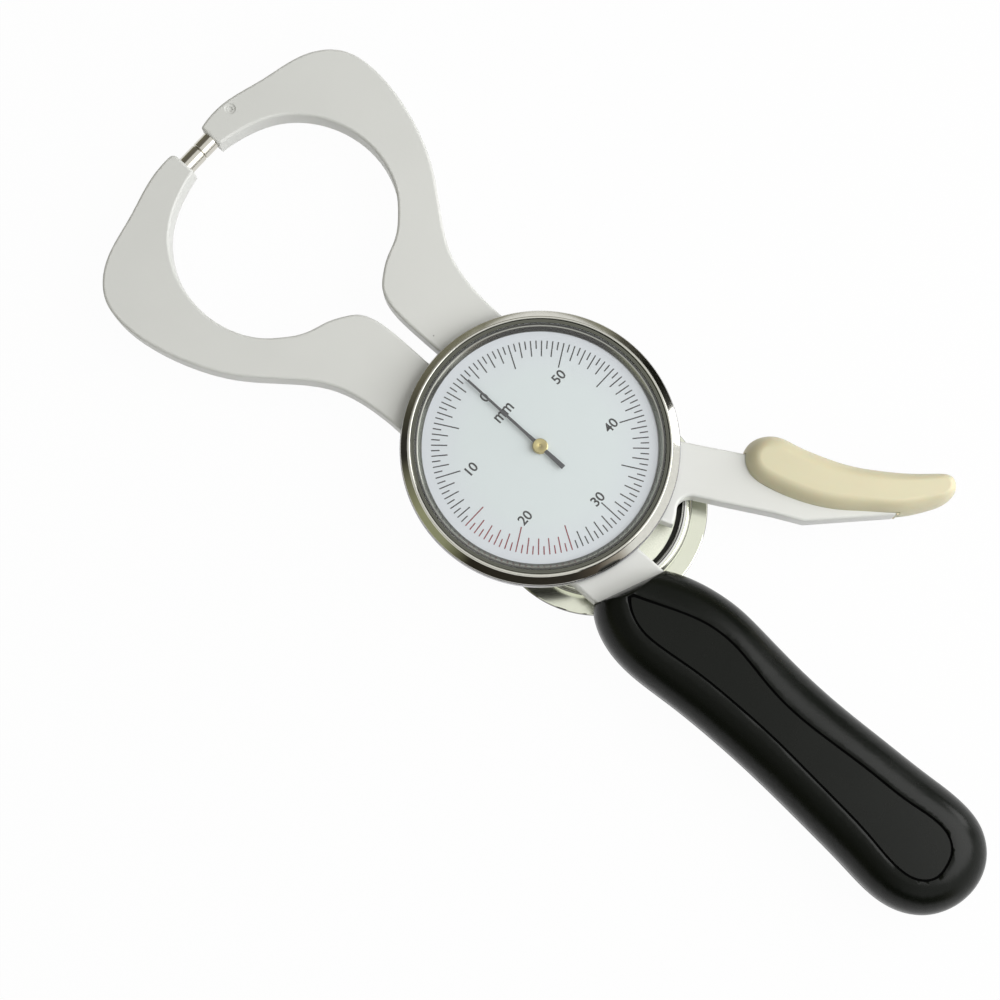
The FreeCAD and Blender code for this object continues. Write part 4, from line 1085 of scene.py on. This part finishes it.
class CALIPER_OT_stage(bpy.types.Operator):
    """White floor, soft studio light and the camera"""
    bl_idname = "caliper.stage"
    bl_label = "Stage"

    CAMERA_AT = (-80.44, -48.80, 551.07)
    CAMERA_TO = (-16.455, 18.795, 9.0)
    CAMERA_UP = (0.73402, 0.65785, 0.16867)
    SENSOR = 36.0
    LENS = 77.83
    NEAREST = 0.01                       # metres from the camera
    # Name, place and width in metres, and power in watts.
    LAMPS = (("key", (0.24, -0.26, 0.36), 0.5, 1.9), ("fill", (-0.60, 0.35, 0.80), 1.1, 0.5),
             ("low", (0.50, -0.25, 0.13), 0.2, 0.5))
    LAMPS_AIM = Vector((0.0, 0.0, 0.01))
    FLOOR_HALF = 0.28                    # metres from the middle of the floor to its sides
    FLOOR_HEIGHT = -0.0004
    PAPER = (0.68, 0.68, 0.68)
    GLOW = 0.97                          # share of plain white in the paper; the rest keeps the shadow
    WHITE = (1.0, 1.0, 1.0)
    # Walls near the horizon: compass direction in degrees from +X towards +Y, and colour.
    WALLS = ((-180, "#60604E"), (-175, "#302D26"), (-120, "#35322D"), (-108, "#5A5249"), (-96, "#B0A9A0"),
             (-88, "#FFFFFF"), (-37, "#FFFFFF"), (-33, "#5F5F5C"), (-12, "#1E1E1A"), (-2, "#1E1E1A"),
             (11, "#55534A"), (18, "#8A8878"), (67, "#8A8875"), (92, "#6E6B5C"), (106, "#4E4C41"),
             (118, "#363430"), (126, "#363430"), (136, "#7C7C67"), (152, "#A1A383"), (169, "#9C9F81"),
             (180, "#60604E"))
    WALL_TOP = (0.36, 0.46)              # where the walls end, as the sine of the height above level
    CEILING = (0.92, 0.96)
    CEILING_WHITE = "#F4F4F2"
    WINDOW_SIDE = (0.35, -0.94, 0.0)     # the bright side above the walls
    SIDES = ((0.0, "#716E65"), (1.0, "#FFFFFF"))
    SIDES_SPAN = (-0.25, 0.30)           # from away from the window to towards it

    def execute(self, context):
        self.floor()
        self.world(context.scene)
        for name, place, size, power in self.LAMPS:
            self.lamp(name, place, size, power)
        self.camera(context.scene)
        context.scene.view_settings.view_transform = "Standard"
        return {"FINISHED"}

    def floor(self):
        """One square sheet of paper under the caliper."""
        half = self.FLOOR_HALF
        corners = np.array([[-half, -half], [half, -half], [half, half], [-half, half]])
        points = np.c_[corners, np.full(4, self.FLOOR_HEIGHT)]
        mesh = bpy.data.meshes.new("floor")
        mesh.from_pydata(points.tolist(), [], [(0, 1, 2, 3)])
        plane = new_piece("floor", mesh)
        mesh.materials.append(self.floor_paper())

    def floor_paper(self):
        """White paper sweep: seen as white, with the object's shadow kept faint on it."""
        material = bpy.data.materials.new("white_paper")
        material.use_nodes = True
        tree = material.node_tree
        tree.nodes.clear()
        seen = self.seen(tree)
        paper = add(tree, "ShaderNodeBsdfDiffuse", {"Color": self.PAPER})
        glow = add(tree, "ShaderNodeEmission", {"Color": self.WHITE, "Strength": 1.0})
        lit = add(tree, "ShaderNodeMixShader", {0: self.GLOW, 1: paper.outputs[0], 2: glow.outputs[0]})
        surface = add(tree, "ShaderNodeMixShader", {0: seen, 1: paper.outputs[0], 2: lit.outputs[0]})
        add(tree, "ShaderNodeOutputMaterial", {"Surface": surface.outputs[0]})
        return material

    def seen(self, tree):
        """1 for rays from the camera, off a mirror or through glass."""
        path = add(tree, "ShaderNodeLightPath")
        first = add(tree, "ShaderNodeMath", {0: path.outputs["Is Camera Ray"],
                                             1: path.outputs["Is Glossy Ray"]}, operation="MAXIMUM")
        both = add(tree, "ShaderNodeMath", {0: first.outputs[0],
                                            1: path.outputs["Is Transmission Ray"]}, operation="MAXIMUM")
        return both.outputs[0]

    def world(self, scene):
        """Studio round the object: white ceiling, one bright side, and walls that differ by direction.

        Polished metal needs something to mirror, so the walls near the horizon run from dark to white
        with the compass direction.  The camera itself sees white.
        """
        world = bpy.data.worlds.new("studio")
        scene.world = world
        world.use_nodes = True
        tree = world.node_tree
        tree.nodes.clear()
        path = add(tree, "ShaderNodeLightPath")
        direction = add(tree, "ShaderNodeTexCoord").outputs["Generated"]
        axes = add(tree, "ShaderNodeSeparateXYZ", {"Vector": direction}).outputs
        compass = add(tree, "ShaderNodeMath", {0: axes["Y"], 1: axes["X"]}, operation="ARCTAN2")
        stops = [((degrees + 180) / 360, colour) for degrees, colour in self.WALLS]
        walls = bands(tree, compass.outputs[0], (-np.pi, np.pi), stops)
        facing = add(tree, "ShaderNodeVectorMath", {0: direction, 1: self.WINDOW_SIDE},
                     operation="DOT_PRODUCT")
        sides = bands(tree, facing.outputs["Value"], self.SIDES_SPAN, self.SIDES)
        upper = parted(tree, axes["Z"], self.WALL_TOP, walls, sides)
        whole = parted(tree, axes["Z"], self.CEILING, upper, linear(self.CEILING_WHITE))
        studio = add(tree, "ShaderNodeBackground", {"Color": whole, "Strength": 1.0})
        white = add(tree, "ShaderNodeBackground", {"Color": self.WHITE, "Strength": 1.0})
        surface = add(tree, "ShaderNodeMixShader", {0: path.outputs["Is Camera Ray"],
                                                    1: studio.outputs[0], 2: white.outputs[0]})
        add(tree, "ShaderNodeOutputWorld", {"Surface": surface.outputs[0]})

    def lamp(self, name, place, size, power):
        """A round soft lamp turned towards the caliper."""
        data = bpy.data.lights.new(name, "AREA")
        data.shape = "DISK"
        data.size = size
        data.energy = power
        lamp = bpy.data.objects.new(name, data)
        bpy.context.scene.collection.objects.link(lamp)
        aim = Vector(place) - self.LAMPS_AIM
        lamp.matrix_world = Matrix.Translation(place) @ aim.to_track_quat("Z", "Y").to_matrix().to_4x4()

    def camera(self, scene):
        """The camera, with its sides worked out from where it stands, looks to and holds up."""
        data = bpy.data.cameras.new("camera")
        data.sensor_width = self.SENSOR
        data.lens = self.LENS
        data.clip_start = self.NEAREST
        camera = bpy.data.objects.new("camera", data)
        scene.collection.objects.link(camera)
        place = Vector(self.CAMERA_AT) * MM
        back = (place - Vector(self.CAMERA_TO) * MM).normalized()
        right = Vector(self.CAMERA_UP).cross(back).normalized()
        up = back.cross(right)
        turn = Matrix((right, up, back)).transposed().to_4x4()
        camera.matrix_world = Matrix.Translation(place) @ turn
        scene.camera = camera


STEPS = (CALIPER_OT_arms, CALIPER_OT_pins, CALIPER_OT_pivot, CALIPER_OT_drum, CALIPER_OT_movement,
         CALIPER_OT_bezel, CALIPER_OT_dial, CALIPER_OT_pointer, CALIPER_OT_crystal, CALIPER_OT_handle,
         CALIPER_OT_grip, CALIPER_OT_screws, CALIPER_OT_stage)


class CALIPER_PT_panel(bpy.types.Panel):
    """Lists the caliper's steps, sizes and colours"""
    bl_idname = "CALIPER_PT_panel"
    bl_label = "Skinfold Caliper"
    bl_space_type = "VIEW_3D"
    bl_region_type = "UI"
    bl_category = "Caliper"

    def draw(self, context):
        for step in STEPS:
            self.layout.operator(step.bl_idname, text=step.bl_label)
        for group in (context.scene.caliper_sizes, context.scene.caliper_colours):
            box = self.layout.box()
            for name in group.__annotations__:
                box.prop(group, name)


CLASSES = (CaliperSizes, CaliperColours, *STEPS, CALIPER_PT_panel)


def register():
    for cls in CLASSES:
        bpy.utils.register_class(cls)
    bpy.types.Scene.caliper_sizes = bpy.props.PointerProperty(type=CaliperSizes)
    bpy.types.Scene.caliper_colours = bpy.props.PointerProperty(type=CaliperColours)


def unregister():
    del bpy.types.Scene.caliper_sizes
    del bpy.types.Scene.caliper_colours
    for cls in reversed(CLASSES):
        bpy.utils.unregister_class(cls)


def main():
    register()
    for step in STEPS:
        group, name = step.bl_idname.split(".")
        getattr(getattr(bpy.ops, group), name)()


if __name__ == "__main__":
    main()
